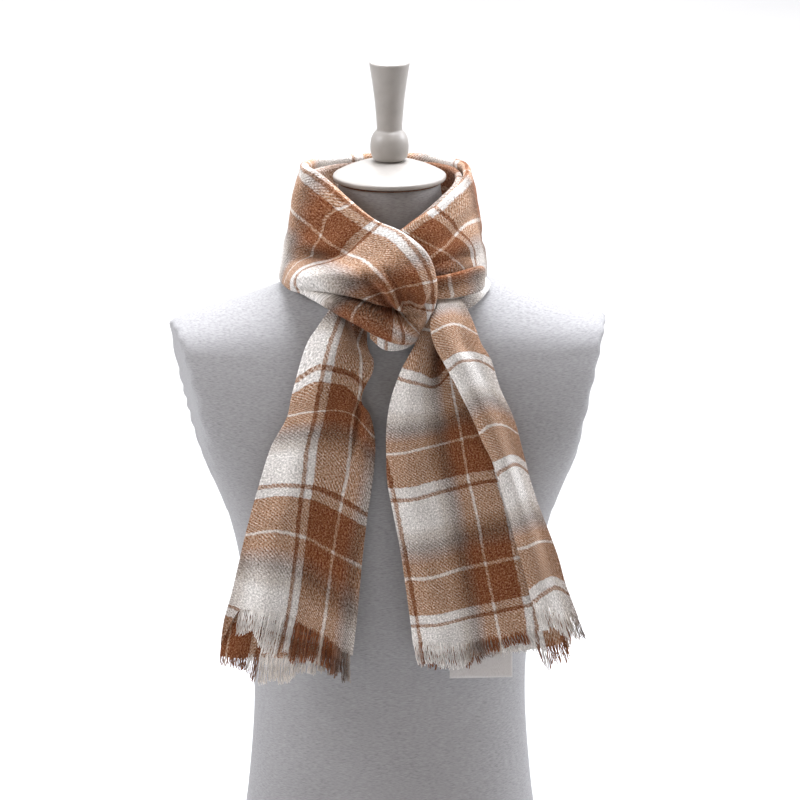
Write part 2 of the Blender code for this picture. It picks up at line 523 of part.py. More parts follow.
def main():
    for old in list(bpy.data.objects):
        bpy.data.objects.remove(old)
    add_torso()
    add_turned("neck_cap", CAP_PROFILE, "painted_wood")
    add_turned("finial", FINIAL_PROFILE, "painted_wood")

    add_wall("wrap_left", Wind(WRAP_LEFT, FOLDS_WRAP_LEFT), 38, 10, "wool", edge_points=3)
    add_wall("wrap_right", Wind(WRAP_RIGHT, FOLDS_WRAP_RIGHT), 18, 7, "wool_light", edge_points=3)
    add_wall("wrap_inner", Wind(WRAP_INNER), 22, 3, "wool", edge_points=1)
    add_wall("loop_return", Wind(LOOP_RETURN), 8, 3, "wool", edge_points=3)
    add_wall("loop_under", Wind(LOOP_UNDER), 6, 3, "wool_light", edge_points=1)
    add_wall("collar_under", Wind(COLLAR_UNDER), 6, 2, "wool_light", edge_points=1)

    left_front = Hang(TAIL_LEFT, FOLDS_LEFT, HEM_LEFT_FRONT)
    left_back = Hang(TAIL_LEFT, FOLDS_LEFT, HEM_LEFT_BACK, back=LAYER_STEP, inset=(8, 2))
    panel = Hang(RIGHT_PANEL, FOLDS_PANEL, HEM_PANEL)
    roll = Hang(RIGHT_ROLL, FOLDS_ROLL, HEM_ROLL)
    right_back = Hang(back_rows(), (), HEM_RIGHT_BACK)
    # wall, its rows and columns; its fringe, the stretch of hem, strand lengths and their lean
    ends = (
        ("tail_left_front", left_front, 20, 11, "wool",
         "fringe_left_front", 0.12, 0.97, ((0, 20), (0.5, 26), (1, 24)), 1.5, "wool_light"),
        ("tail_left_back", left_back, 20, 9, "wool_light",
         "fringe_left_back", 0.02, 0.98, ((0, 22), (0.4, 30), (1, 28)), 1.0, "wool"),
        ("tail_right_panel", panel, 20, 10, "wool_light",
         "fringe_right_panel", 0.02, 0.86, ((0, 24), (1, 22)), 1.0, "wool_light"),
        ("tail_right_roll", roll, 20, 7, "wool",
         "fringe_right_roll", 0.08, 0.92, ((0, 22), (1, 24)), 1.0, "wool_light"),
        ("tail_right_back", right_back, 20, 7, "wool",
         "fringe_right_back", 0.02, 0.96, ((0, 24), (0.8, 28), (1, 24)), 1.0, "wool"),
    )
    for name, sheet, rows, columns, finish, fringe, v0, v1, lengths, lean, fringe_finish in ends:
        add_wall(name, sheet, rows, columns, finish)
        add_fringe(fringe, sheet, columns, v0, v1, lengths, lean, fringe_finish)
    add_label()


main()
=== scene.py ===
# %% [markdown]
# # A plaid blanket scarf on a dress form
# The real object is two things: a brushed wool scarf, folded lengthwise and tied in a
# pull-through loop, and a limbless display form covered in stretched jersey, with a turned
# wooden cap and finial. The solids of both come packed, and this file gives them their looks:
# every cell makes one piece or one finish, and prints what it made.

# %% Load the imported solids
import math

import bpy
import numpy as np
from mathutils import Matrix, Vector


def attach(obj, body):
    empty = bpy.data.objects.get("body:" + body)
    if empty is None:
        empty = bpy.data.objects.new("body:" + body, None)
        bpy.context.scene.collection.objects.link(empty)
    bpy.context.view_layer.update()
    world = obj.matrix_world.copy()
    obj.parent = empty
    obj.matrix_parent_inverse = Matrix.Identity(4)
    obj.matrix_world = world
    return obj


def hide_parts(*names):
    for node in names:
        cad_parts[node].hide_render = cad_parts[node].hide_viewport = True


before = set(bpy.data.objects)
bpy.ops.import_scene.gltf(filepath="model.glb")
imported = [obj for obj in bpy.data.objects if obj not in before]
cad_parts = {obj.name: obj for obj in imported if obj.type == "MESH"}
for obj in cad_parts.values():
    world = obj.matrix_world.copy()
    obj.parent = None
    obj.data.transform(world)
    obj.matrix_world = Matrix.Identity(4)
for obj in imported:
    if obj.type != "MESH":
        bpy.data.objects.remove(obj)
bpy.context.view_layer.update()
MM = 0.001

# %% [markdown]
# ## Colours and nodes
# A colour is written as people read it on a screen, in sRGB hex, and Blender works in linear
# light, so one function converts it. A material is a small graph of nodes. It could be clicked
# together by hand; one helper that adds a node with its settings and links keeps it readable
# here. An input takes a value, a socket or a whole node, whose first output is then meant.

# %% Colour and node helpers
def linear(colour):
    """'#RRGGBB' in sRGB to the linear RGBA that Blender's sockets take."""
    parts = [int(colour[k:k + 2], 16) / 255 for k in (1, 3, 5)]
    return (*[p / 12.92 if p <= 0.04045 else ((p + 0.055) / 1.055) ** 2.4 for p in parts], 1.0)


def feed(node, inputs):
    """Fill a node's inputs, each with a value, a socket or a node."""
    for name, value in inputs.items():
        if isinstance(value, bpy.types.Node):
            value = value.outputs[0]
        if isinstance(value, bpy.types.NodeSocket):
            node.id_data.links.new(value, node.inputs[name])
        else:
            node.inputs[name].default_value = value


def add(tree, kind, inputs=(), stops=(), **settings):
    """Add one node; stops are the (place, '#RRGGBB') rows of a colour ramp."""
    made = tree.nodes.new("ShaderNode" + kind)
    for name, value in settings.items():
        setattr(made, name, value)
    if stops:
        marks = made.color_ramp.elements
        while len(marks) < len(stops):
            marks.new(0.5)
        for mark, (place, colour) in zip(marks, stops):
            mark.position, mark.color = place, linear(colour)
    feed(made, dict(inputs))
    return made


def blank(name):
    """A new material with its tree and its Principled shader."""
    made = bpy.data.materials.new(name)
    made.use_nodes = True
    return made, made.node_tree, made.node_tree.nodes["Principled BSDF"]


print("mid grey in linear light:", [round(c, 3) for c in linear("#808080")])

# %% [markdown]
# ## The plaid
# The scarf is woven from dyed wool in a 2/2 twill: each thread passes over two and under two,
# one step along in every row, which makes the fine diagonal. The order of colours is called
# the sett. Lengthwise threads are the warp and crosswise ones the weft. The pattern could be
# painted on an image; here two ramps hold the setts in millimetres, and a wave across both
# picks which thread lies on top, so the weave mixes the colours as the loom does.

# %% Setts of the plaid, in millimetres
RUST, CREAM, WHITE, TAUPE, DARK = "#7D4C2D", "#DAD6D0", "#D5D0CA", "#70635A", "#7A543D"
OATMEAL, FINE = "#AEA499", "#CDBEB0"
# where each colour starts and ends along the thread count
WEFT_PERIOD = 118.0
WEFT_SETT = ((1.7, 3.1, DARK), (4.3, 11.4, WHITE), (12.4, 44.8, RUST), (45.8, 47.2, FINE),
             (48.2, 58.0, RUST), (72.0, 74.0, TAUPE), (84.0, 85.0, OATMEAL), (93.0, 117.6, CREAM))
WARP_PERIOD = 110.0
WARP_SETT = ((1.2, 3.0, DARK), (4.3, 9.4, WHITE), (10.4, 34.4, RUST), (35.4, 36.8, FINE),
             (37.8, 46.0, RUST), (57.0, 59.0, TAUPE), (67.0, 68.0, OATMEAL), (75.0, 109.6, CREAM))
print("stripes: weft", len(WEFT_SETT), "warp", len(WARP_SETT))

# %% [markdown]
# ## Yarns and weave
# Dyed yarns wander a little from the straight, so the setts are read at a place that noise has
# moved. A sine across both thread counts stands for the twill. Brushing then drags tufts of one
# yarn over the other and mats the nap in patches. One could model every thread, at a cost of
# millions of faces; a wave and three noises give the same broken diagonal.

# %% Yarns and weave of the wool
WALE = 3.2                 # one twill repeat along a thread: four threads of 0.8 mm
STRAY = 2.2                # yarns wander by up to half of this, in mm, to each side
TWILL_SHOWS = 0.09, 0.22   # how far the twill moves the mix, where the nap is matted and clear
TANGLE = 1.75              # how far tufts of nap drag one yarn over the other
# noises in waves to the mm of cloth: wandering over 4.5 mm, tufts of 1.3 mm, patches of 14 mm
WANDERING, TUFTS, MATTED = 0.22, 0.75, 0.07


def yarn_tones(tree, cloth):
    """The weft's and the warp's own colour at each place of the cloth."""
    stray = add(tree, "TexNoise", {"Vector": cloth, "Scale": WANDERING, "Detail": 2.0}).outputs["Color"]
    stray = add(tree, "VectorMath", {0: stray, 1: (0.5, 0.5, 0.5)}, operation="SUBTRACT")
    stray = add(tree, "VectorMath", {0: stray, "Scale": STRAY}, operation="SCALE")
    moved = add(tree, "VectorMath", {0: cloth, 1: stray}, operation="ADD")
    axes, tones = add(tree, "SeparateXYZ", {"Vector": moved}), []
    for axis, sett, period in (("X", WEFT_SETT, WEFT_PERIOD), ("Y", WARP_SETT, WARP_PERIOD)):
        repeats = add(tree, "Math", {0: axes.outputs[axis], 1: period}, operation="DIVIDE")
        along = add(tree, "Math", {0: repeats}, operation="FRACT")
        stops = [(place / period, colour) for start, end, colour in sett for place in (start, end)]
        tones.append(add(tree, "ValToRGB", {"Fac": along}, stops))
    return tones


def twill_wave(tree, cloth):
    """The diagonal ribs: a sine across both thread counts, in mm of cloth."""
    axes = add(tree, "SeparateXYZ", {"Vector": cloth})
    count = add(tree, "Math", {0: axes.outputs["X"], 1: axes.outputs["Y"]}, operation="SUBTRACT")
    turns = add(tree, "Math", {0: count, 1: 2 * math.pi / WALE}, operation="MULTIPLY")
    return add(tree, "Math", {0: turns}, operation="SINE")


def warp_share(tree, cloth, wave, fibres):
    """How much of the colour is the warp's: the twill's wave, dragged about by the nap."""
    matted = add(tree, "TexNoise", {"Vector": cloth, "Scale": MATTED, "Detail": 2.0})
    clear = add(tree, "MapRange", {"Value": matted, "From Min": 0.35, "From Max": 0.65,
                                   "To Min": TWILL_SHOWS[0], "To Max": TWILL_SHOWS[1]})
    twill = add(tree, "Math", {0: wave, 1: clear, 2: 0.5}, operation="MULTIPLY_ADD")
    tuft = add(tree, "Math", {0: fibres, 1: 0.5}, operation="SUBTRACT")
    return add(tree, "Math", {0: tuft, 1: TANGLE, 2: twill}, operation="MULTIPLY_ADD", use_clamp=True)


print("wale:", WALE, "mm, threads of", WALE / 4, "mm")

# %% [markdown]
# ## Brushed wool
# Wool twill that has been brushed has a nap: loose fibre ends that blur the weave, scatter
# light softly and glow along edges. So the shader is nearly fully rough with a little sheen,
# the bump is the twill's low ribs under fibre noise, and the colour is broken up as melange
# yarn is. Fibres lie over fibres, so the darker yarn counts for more than its share: the two
# tones are mixed on a root scale. The same builder makes the fringe, where only warp is left,
# and paints the fringe's colour lighter, as painted light on the thin yarns.

# %% The wool materials
ROOT = 0.12                # the power at which the two yarns' tones are mixed
FLECK_RANGE = 1.3          # how far fibres stray from their yarn's tone, on a square root scale
DEEPEST = 0.08             # the darkest that a fleck can be, on that scale
FLECKS, DYE_BATH = 0.62, 0.03     # waves to the mm: flecks of 1.6 mm, dye uneven over 33 mm
RIB_HEIGHT, NAP_HEIGHT = 0.35, 2.0
LOOSE_WARP, LOOSE_PAINTED_LIGHT = 0.96, 1.22    # the fringe is nearly all warp, and its colour is painted lighter, as painted light on the thin yarns


def melange(tree, cloth, woven):
    """Single fibres lighter and darker than their yarn; woven is the colour's square root."""
    fleck = add(tree, "TexNoise", {"Vector": cloth, "Scale": FLECKS, "Detail": 3.0, "Roughness": 0.8})
    fleck = add(tree, "Math", {0: fleck, 1: 0.5}, operation="SUBTRACT")
    fleck = add(tree, "Math", {0: fleck, 1: FLECK_RANGE}, operation="MULTIPLY")
    flecked = add(tree, "VectorMath", {0: woven, 1: fleck}, operation="ADD")
    flecked = add(tree, "VectorMath", {0: flecked, 1: (DEEPEST, DEEPEST, DEEPEST)}, operation="MAXIMUM")
    return add(tree, "Gamma", {"Color": flecked, "Gamma": 2.0})


def wool(name, loose):
    """Brushed wool twill; loose=True is for warp ends with no weft left between them, whose colour is painted
    lighter as painted light.
    """
    made, tree, shader = blank(name)
    chart = add(tree, "UVMap", uv_map="Cloth")
    cloth = add(tree, "VectorMath", {0: chart, "Scale": 1 / MM}, operation="SCALE")
    # for the fringe, light paints the colour lighter than the cloth's: painted light on the thin yarns
    share, light = LOOSE_WARP, LOOSE_PAINTED_LIGHT
    if not loose:
        wave = twill_wave(tree, cloth)
        fibres = add(tree, "TexNoise", {"Vector": cloth, "Scale": TUFTS, "Detail": 3.0, "Roughness": 0.7})
        share, light = warp_share(tree, cloth, wave, fibres), 1.0
        ribs = add(tree, "Math", {0: wave, 1: RIB_HEIGHT}, operation="MULTIPLY")
        height = add(tree, "Math", {0: fibres, 1: NAP_HEIGHT, 2: ribs}, operation="MULTIPLY_ADD")
        bump = add(tree, "Bump", {"Height": height, "Strength": 0.55, "Distance": 0.35 * MM})
        feed(shader, {"Normal": bump})
    weft, warp = (add(tree, "Gamma", {"Color": tone, "Gamma": ROOT}) for tone in yarn_tones(tree, cloth))
    woven = add(tree, "Mix", {0: share, 6: weft, 7: warp}, data_type="RGBA").outputs[2]
    woven = add(tree, "Gamma", {"Color": woven, "Gamma": 0.5 / ROOT})
    # uneven dye, and for the fringe also the painted light that makes its colour lighter
    dye_and_painted_light = add(tree, "TexNoise", {"Vector": cloth, "Scale": DYE_BATH, "Detail": 2.0})
    dye_and_painted_light = add(tree, "MapRange", {"Value": dye_and_painted_light, "From Min": 0.3, "From Max": 0.7,
                                 "To Min": 0.90 * light, "To Max": 1.10 * light})
    colour = add(tree, "VectorMath", {0: melange(tree, cloth, woven), "Scale": dye_and_painted_light}, operation="SCALE")
    feed(shader, {"Base Color": colour, "Roughness": 0.95, "Specular IOR Level": 0.15,
                  "Sheen Weight": 0.08, "Sheen Roughness": 0.45, "Sheen Tint": linear("#F2E6DC")})
    return made


brushed_wool = wool("brushed_wool_twill", loose=False)
# the fringe's wool, its colour painted lighter as painted light on the thin yarns
loose_wool = wool("loose_wool_ends", loose=True)
print("wool:", len(brushed_wool.node_tree.nodes), "nodes, fringe:", len(loose_wool.node_tree.nodes))

# %% [markdown]
# ## Jersey
# The form's cover is single-jersey cotton in heather grey, pulled tight. From a step away its
# knit shows only as a faint crosswise grain with grey and white fibres mixed. A stretched noise
# gives that grain, about 0.7 mm high and 4 mm long. Real stitches are finer still, and are
# drawn this coarse so that they show.

# %% The jersey material
GRAIN = (260.0, 260.0, 1500.0)      # waves to the metre in x, y and z
CLOUDS, CLOUDED = 14.0, 0.15        # slow patches of 70 mm, and how far they count


def jersey_knit():
    """Heather-grey single jersey, matt and fine-grained."""
    made, tree, shader = blank("heather_cotton_jersey")
    place = add(tree, "TexCoord").outputs["Object"]
    stretched = add(tree, "VectorMath", {0: place, 1: GRAIN}, operation="MULTIPLY")
    grain = add(tree, "TexNoise", {"Vector": stretched, "Scale": 1.0, "Detail": 3.0})
    clouds = add(tree, "TexNoise", {"Vector": place, "Scale": CLOUDS, "Detail": 2.0})
    mixed = add(tree, "Math", {0: clouds, 1: CLOUDED, 2: grain}, operation="MULTIPLY_ADD")
    heather = (0.30, "#868585"), (0.52, "#9A9999"), (0.80, "#ABAAAA")
    bump = add(tree, "Bump", {"Height": grain, "Strength": 0.12, "Distance": 0.15 * MM})
    feed(shader, {"Base Color": add(tree, "ValToRGB", {"Fac": mixed}, heather), "Normal": bump,
                  "Roughness": 0.85, "Specular IOR Level": 0.25, "Sheen Weight": 0.12})
    return made


heather_jersey = jersey_knit()
print("jersey:", len(heather_jersey.node_tree.nodes), "nodes")

# %% [markdown]
# ## Painted wood
# Cap and finial are lathe-turned wood under a satin off-white paint. Paint hides the grain, but
# fine turning marks run round the axis and the sheen is a little uneven. A wave that follows
# the height gives the marks, and noise breaks up the gloss.

# %% The painted wood
TURNING_MARK = 0.9 * MM    # how far the tool moves along at each turn
UNEVEN_PAINT = 60.0        # waves to the metre: 17 mm


def painted_wood():
    """Satin paint over turned wood."""
    made, tree, shader = blank("satin_painted_turned_wood")
    place = add(tree, "TexCoord").outputs["Object"]
    uneven = add(tree, "TexNoise", {"Vector": place, "Scale": UNEVEN_PAINT, "Detail": 4.0})
    height = add(tree, "SeparateXYZ", {"Vector": place}).outputs["Z"]
    turns = add(tree, "Math", {0: height, 1: 2 * math.pi / TURNING_MARK}, operation="MULTIPLY")
    marks = add(tree, "Math", {0: turns}, operation="SINE")
    relief = add(tree, "Math", {0: marks, 1: 0.2, 2: uneven}, operation="MULTIPLY_ADD")
    off_white = (0.3, "#A09B94"), (0.6, "#ABA69F")
    feed(shader, {
        "Base Color": add(tree, "ValToRGB", {"Fac": uneven}, off_white),
        "Roughness": add(tree, "MapRange", {"Value": uneven, "To Min": 0.30, "To Max": 0.48}),
        "Normal": add(tree, "Bump", {"Height": relief, "Strength": 0.12, "Distance": 0.1 * MM}),
    })
    return made


satin_paint = painted_wood()
print("paint:", len(satin_paint.node_tree.nodes), "nodes")

# %% [markdown]
# ## Brown ring and label satin
# A thin brown ring runs round the neck just under the cap, with a fine mottle. The care label
# is woven satin, whose threads float up and down the label for a few millimetres. That makes it
# smoother and shinier than the wool. Both are noise at the thread's own size, since neither is
# seen from nearer than a step.

# %% The brown ring and the label's satin
BROWN_MOTTLE = 700.0                          # waves to the metre: 1.4 mm
FLOATS = (2600.0, 2600.0, 500.0)       # waves to the metre: threads of 0.4 mm, floats of 2 mm


def brown_ring_finish():
    """Dull brown with a fine mottle."""
    made, tree, shader = blank("brown_neck_ring_finish")
    place = add(tree, "TexCoord").outputs["Object"]
    mottle = add(tree, "TexNoise", {"Vector": place, "Scale": BROWN_MOTTLE, "Detail": 2.0})
    browns = (0.3, "#6A4A38"), (0.7, "#8C6A55")
    feed(shader, {"Base Color": add(tree, "ValToRGB", {"Fac": mottle}, browns), "Roughness": 0.9})
    return made


def woven_satin():
    """Pale satin with its floats up and down."""
    made, tree, shader = blank("woven_satin_label")
    place = add(tree, "TexCoord").outputs["Object"]
    threads = add(tree, "VectorMath", {0: place, 1: FLOATS}, operation="MULTIPLY")
    weave = add(tree, "TexNoise", {"Vector": threads, "Scale": 1.0})
    bump = add(tree, "Bump", {"Height": weave, "Strength": 0.3, "Distance": 0.1 * MM})
    pale = (0.3, "#BDB8B3"), (0.7, "#D2CECA")
    feed(shader, {"Base Color": add(tree, "ValToRGB", {"Fac": weave}, pale), "Normal": bump,
                  "Roughness": 0.42, "Sheen Weight": 0.2})
    return made


brown_ring, satin = brown_ring_finish(), woven_satin()
print("materials:", len(bpy.data.materials))

# %% [markdown]
# ## Reading a table as a smooth curve
# Cloth and the form are described by short tables, a row for each station. Straight lines
# between stations would show as kinks, so the tables are read along Hermite curves: each
# station's slope is a weighted mean of its two sides. NumPy does a whole grid at once.

# %% Smooth curves
def smooth(stations, values, where):
    """Read rows of values, placed at the stations, along a smooth curve."""
    stations, values = np.asarray(stations, float), np.asarray(values, float)
    slopes = np.gradient(values, stations, axis=0)
    where = np.clip(where, stations[0], stations[-1])
    k = np.clip(np.searchsorted(stations, where, side="right") - 1, 0, len(stations) - 2)
    span = stations[k + 1] - stations[k]
    t = (where - stations[k]) / span
    if values.ndim > 1:
        t, span = t[..., None], span[..., None]
    return ((2 * t ** 3 - 3 * t ** 2 + 1) * values[k] + (t ** 3 - 2 * t ** 2 + t) * span * slopes[k]
            + (3 * t ** 2 - 2 * t ** 3) * values[k + 1] + (t ** 3 - t ** 2) * span * slopes[k + 1])


print("middle of a 0, 1, 4 curve at 1.5:", round(float(smooth((0, 1, 2), (0, 1, 4), np.array(1.5))), 3))

# %% [markdown]
# ## Creases and ripples
# Creases are what tells cloth from moulded plastic. A cloth simulation could find some, but a
# tied knot needs them in given places, so each crease follows a route of marks, and its
# height falls off with distance from that route: softly as a bell curve, sharply as a pleat,
# or in between. Small ripples over them are smooth noise, drawn from a seed, so that they
# come out the same each run. The edges of every sheet round off along a quarter circle.

# %% Creases and soft noise
LATTICE = 64           # the noise repeats after so many units
EDGE_ROLL = 0.3        # the share of a sheet's breadth in which its edge rounds away


def soft_noise(across, down, seed):
    """Smooth noise from -1 to 1 on a lattice one unit apart."""
    lattice = np.random.default_rng(seed).uniform(-1, 1, (LATTICE, LATTICE))
    i, j = np.floor(across).astype(int), np.floor(down).astype(int)
    s, t = across - i, down - j
    s, t = s * s * (3 - 2 * s), t * t * (3 - 2 * t)
    corner = [[lattice[(i + a) % LATTICE, (j + b) % LATTICE] for b in (0, 1)] for a in (0, 1)]
    return ((corner[0][0] * (1 - s) + corner[1][0] * s) * (1 - t)
            + (corner[0][1] * (1 - s) + corner[1][1] * s) * t)


def rounding(share):
    """0 at a sheet's edge, 1 from the roll inward, along a quarter circle."""
    return np.sqrt(1 - (1 - np.clip(share / EDGE_ROLL, 0, 1)) ** 2)


def fold_height(folds, row, v, step, breadth):
    """Height of the creases at (row, v): each follows its route with a soft or sharp profile."""
    total = np.zeros(np.shape(row))
    for half, sharp, *stations in folds:
        nearest, height = np.full(total.shape, np.inf), np.zeros(total.shape)
        for start, end in zip(stations, stations[1:]):
            run = (end[0] - start[0]) * step, (end[1] - start[1]) * breadth
            px, py = (row - start[0]) * step, (v - start[1]) * breadth
            share = np.clip((px * run[0] + py * run[1]) / (run[0] ** 2 + run[1] ** 2), 0, 1)
            away = np.hypot(px - share * run[0], py - share * run[1])
            closer = away < nearest
            nearest = np.where(closer, away, nearest)
            height = np.where(closer, start[2] * (1 - share) + end[2] * share, height)
        soft, crisp = np.exp(-(nearest / half) ** 2), np.exp(-1.5 * nearest / half)
        total += height * (soft * (1 - sharp) + crisp * sharp)
    return total


print("rounding at an edge, half way in and at the roll:",
      [round(float(rounding(share)), 2) for share in (0, EDGE_ROLL / 2, EDGE_ROLL)])

# %% [markdown]
# ## Two kinds of cloth sheet
# Round the neck a stretch of scarf is easiest to give as turns: azimuth, radius and height of
# its upper and lower edge. The hanging ends are easiest to give by their left and right edge
# points. Both read their rows smoothly and bow outward between rounded edges. Each also has
# a chart: which thread of the sett lies where, so that the plaid bends with the cloth. What
# both kinds share is one class, and each kind adds how its rows are read.

# %% What every sheet does
QUARTERS = (0.0, 0.25, 0.5, 0.75, 1.0)         # the shares across a sheet where a chart is marked
RIPPLES = ((38, 11, 1.0), (17, 8, 0.5))        # length and width in mm, and how far each counts


def pick(lists, index):
    """From the list at each place of a grid, the entry that the index there names."""
    return np.take_along_axis(lists, index[..., None], axis=-1)[..., 0]


class Sheet:
    """A sheet in mm: row numbers run along it, v from 0 to 1 across it."""

    def __init__(self, rows, folds, chart, ripple, seed):
        self.rows, self.folds, self.chart, self.ripple, self.seed = rows, folds, chart, ripple, seed
        middle = self.smooth_place(np.arange(len(rows)), np.full(len(rows), 0.5))
        self.step = np.linalg.norm(np.diff(middle, axis=0), axis=1).sum() / (len(rows) - 1)

    def read(self, row):
        """The table's columns at any row number."""
        return smooth(range(len(self.rows)), self.rows, np.asarray(row, float))

    def lifted(self, row, v):
        """Row numbers as they are; a sheet with a slanting hem pulls them up."""
        return row

    def breadth(self, row):
        """Distance between the long edges, in mm."""
        ends = [self.smooth_place(row, np.full(np.shape(row), v)) for v in (0.0, 1.0)]
        return np.linalg.norm(ends[1] - ends[0], axis=-1)

    def relief(self, row, v):
        """Creases and ripples, measured out from the smooth sheet."""
        breadth = self.breadth(row)
        along, across = row * self.step, v * breadth
        drag = sum(share * soft_noise(along / long, across / wide, self.seed + k)
                   for k, (long, wide, share) in enumerate(RIPPLES))
        return fold_height(self.folds, row, v, self.step, breadth) + self.ripple * drag

    def threads(self, row, v):
        """Weft and warp place in the sett, in mm, from the chalk marks in the chart."""
        weft_marks, warp_marks = (np.array(marks, float) for marks in self.chart)
        row, v = np.broadcast_arrays(np.asarray(row, float), np.asarray(v, float))
        crossings = smooth(QUARTERS, weft_marks[:, 1:].T, v)
        k = np.clip((row[..., None] >= crossings).sum(axis=-1) - 1, 0, len(weft_marks) - 2)
        start, end = pick(crossings, k), pick(crossings, k + 1)
        weft = weft_marks[k, 0] + (weft_marks[k + 1, 0] - weft_marks[k, 0]) * (row - start) / (end - start)
        places = smooth(warp_marks[:, 0], warp_marks[:, 1:], row)
        fine = v * (len(QUARTERS) - 1)
        column = np.clip(fine.astype(int), 0, len(QUARTERS) - 2)
        first, second = pick(places, column), pick(places, column + 1)
        return weft, first + (second - first) * (fine - column)


print("marks across a chart:", len(QUARTERS))

# %% Wound and hanging sheets
LAYER = 2.0            # the thickness of one brushed layer, in mm


class Wound(Sheet):
    """Rows: azimuth, radius and height of the upper edge, the same of the lower, bow, thickness."""

    def smooth_place(self, row, v):
        """Points of the sheet without its creases."""
        data = self.read(row)
        azimuth, radius, height = (data[..., k] * (1 - v) + data[..., k + 3] * v for k in range(3))
        radius = radius + data[..., 6] * np.minimum(rounding(v), rounding(1 - v))
        turn = np.radians(azimuth)
        return np.stack([radius * np.sin(turn), -radius * np.cos(turn), height], axis=-1)

    def half(self, row):
        """Half the wall's thickness."""
        return self.read(row)[..., 7] / 2


class Hanging(Sheet):
    """Rows: left x, y, z; right x, y, z; bow; how far the left and the right edge round back.

    The hem lists (share across, height above the last row). A back layer lies `back` mm behind,
    and `part` adds to that by height. `inset` draws in its edges, so that the front hides them.
    """

    def __init__(self, rows, folds, chart, ripple, seed, hem, back=0.0, part=((0, 0),), inset=(0.0, 0.0)):
        self.hem, self.back, self.part, self.inset = np.array(hem), back, np.array(part), inset
        super().__init__(rows, folds, chart, ripple, seed)

    def lifted(self, row, v):
        """Row numbers pulled up so that the last row lies on the slanting hem."""
        long = sum(math.dist(a[:3], b[:3]) for a, b in zip(self.rows, self.rows[1:]))
        return row * (1 - np.interp(v, *self.hem.T) / long)

    def smooth_place(self, row, v):
        """Points of the sheet without its creases."""
        data = self.read(row)
        left, right = data[..., 0:3], data[..., 3:6]
        breadth = np.linalg.norm(right - left, axis=-1)
        v = (self.inset[0] + v * (breadth - sum(self.inset))) / breadth
        place = left + (right - left) * v[..., None]
        drop = data[..., 7] * (1 - rounding(v)) + data[..., 8] * (1 - rounding(1 - v))
        place[..., 1] += self.back - data[..., 6] * (1 - drop)
        place[..., 1] += np.interp(place[..., 2], *self.part.T)
        return place

    def half(self, row):
        """Half the wall's thickness."""
        return np.full(np.shape(row), LAYER / 2)


print("one layer:", LAYER, "mm")

# %% [markdown]
# ## From a sheet to cloth with a thickness
# A woven edge is round, never a sharp slab. So a sheet's grid is offset to both sides along
# the smooth normal, and its long edges are closed with half circles. Working from the smooth
# normal keeps deep creases from crossing themselves. A sheet that stands for a folded scarf
# mirrors the sett on its inner side, as the second layer does.

# %% A piece from points and faces
def unit(vectors):
    """Vectors of length one."""
    return vectors / np.maximum(np.linalg.norm(vectors, axis=-1, keepdims=True), 1e-12)


def new_piece(name, points, faces, finish, uv=None):
    """A smooth mesh object from points in mm, riding on the part's one body."""
    mesh = bpy.data.meshes.new(name)
    mesh.from_pydata((np.asarray(points) * MM).tolist(), [], faces)
    mesh.materials.append(finish)
    mesh.polygons.foreach_set("use_smooth", [True] * len(mesh.polygons))
    if uv is not None:
        layer = mesh.uv_layers.new(name="Cloth")
        layer.data.foreach_set("uv", (np.asarray(uv, float) * MM).ravel())
    mesh.validate()
    made = bpy.data.objects.new(name, mesh)
    bpy.context.scene.collection.objects.link(made)
    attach(made, "root")
    return made


def tube_faces(rings, around):
    """Quads between rings of points, and a face over each end."""
    faces = []
    for i in range(0, (rings - 1) * around, around):
        faces += [(i + k, i + (k + 1) % around, i + around + (k + 1) % around, i + around + k)
                  for k in range(around)]
    return faces + [tuple(reversed(range(around))), tuple(range((rings - 1) * around, rings * around))]


print("faces of a three-sided tube with 2 rings:", len(tube_faces(2, 3)))

# %% The grid of a sheet and the ring round each row
def sheet_grid(sheet, rows, columns):
    """Row numbers, shares across, places and outward normals of a sheet's outer face."""
    even = np.linspace(0, 1, columns + 1)
    shares = ((1 - np.cos(math.pi * even)) / 2 + 2 * even) / 3      # a little closer at the edges
    row, v = np.meshgrid(np.linspace(0, len(sheet.rows) - 1, rows + 1), shares, indexing="ij")
    row = sheet.lifted(row, v)
    inset = sheet.half(row) / np.maximum(sheet.breadth(row), 1e-6)
    v = inset + v * (1 - 2 * inset)
    middle = sheet.smooth_place(row, v)
    along, across = np.gradient(middle, axis=0), np.gradient(middle, axis=1)
    return row, v, middle, unit(np.cross(along, across)), unit(across)


def wall_rings(sheet, grid, turns):
    """Points round the wall at each row: outer face, far edge, inner face, near edge."""
    row, v, middle, normal, across = grid
    half = sheet.half(row)[..., None]
    middle = middle + normal * sheet.relief(row, v)[..., None]

    def rim(column, side):
        out, aside = np.cos(turns)[None, :, None], side * np.sin(turns)[None, :, None]
        return middle[:, column] + half[:, column] * (out * normal[:, column] + aside * across[:, column])

    return np.concatenate([middle + normal * half, rim([-1], 1), (middle - normal * half)[:, ::-1],
                           rim([0], -1)[:, ::-1]], axis=1)


def wall_threads(sheet, row, v, turns, folded):
    """Weft and warp place round the wall; the first point's comes again at the end."""
    rings = []
    for places, mirrored in zip(sheet.threads(row, v), (False, folded)):
        first, last = places[:, :1], places[:, -1:]
        far, near = np.repeat(last, len(turns), axis=1), np.repeat(first, len(turns), axis=1)
        inner = places[:, ::-1]
        if mirrored:
            half = sheet.half(row)[:, :1]
            far, near = far + half * turns, near - half * turns[::-1]
            inner = 2 * first - math.pi * half - inner
        rings.append(np.concatenate([places, far, inner, near, first], axis=1))
    return rings


print("points of an edge:", [round(math.cos(math.pi * k / 6), 2) for k in range(1, 6)])

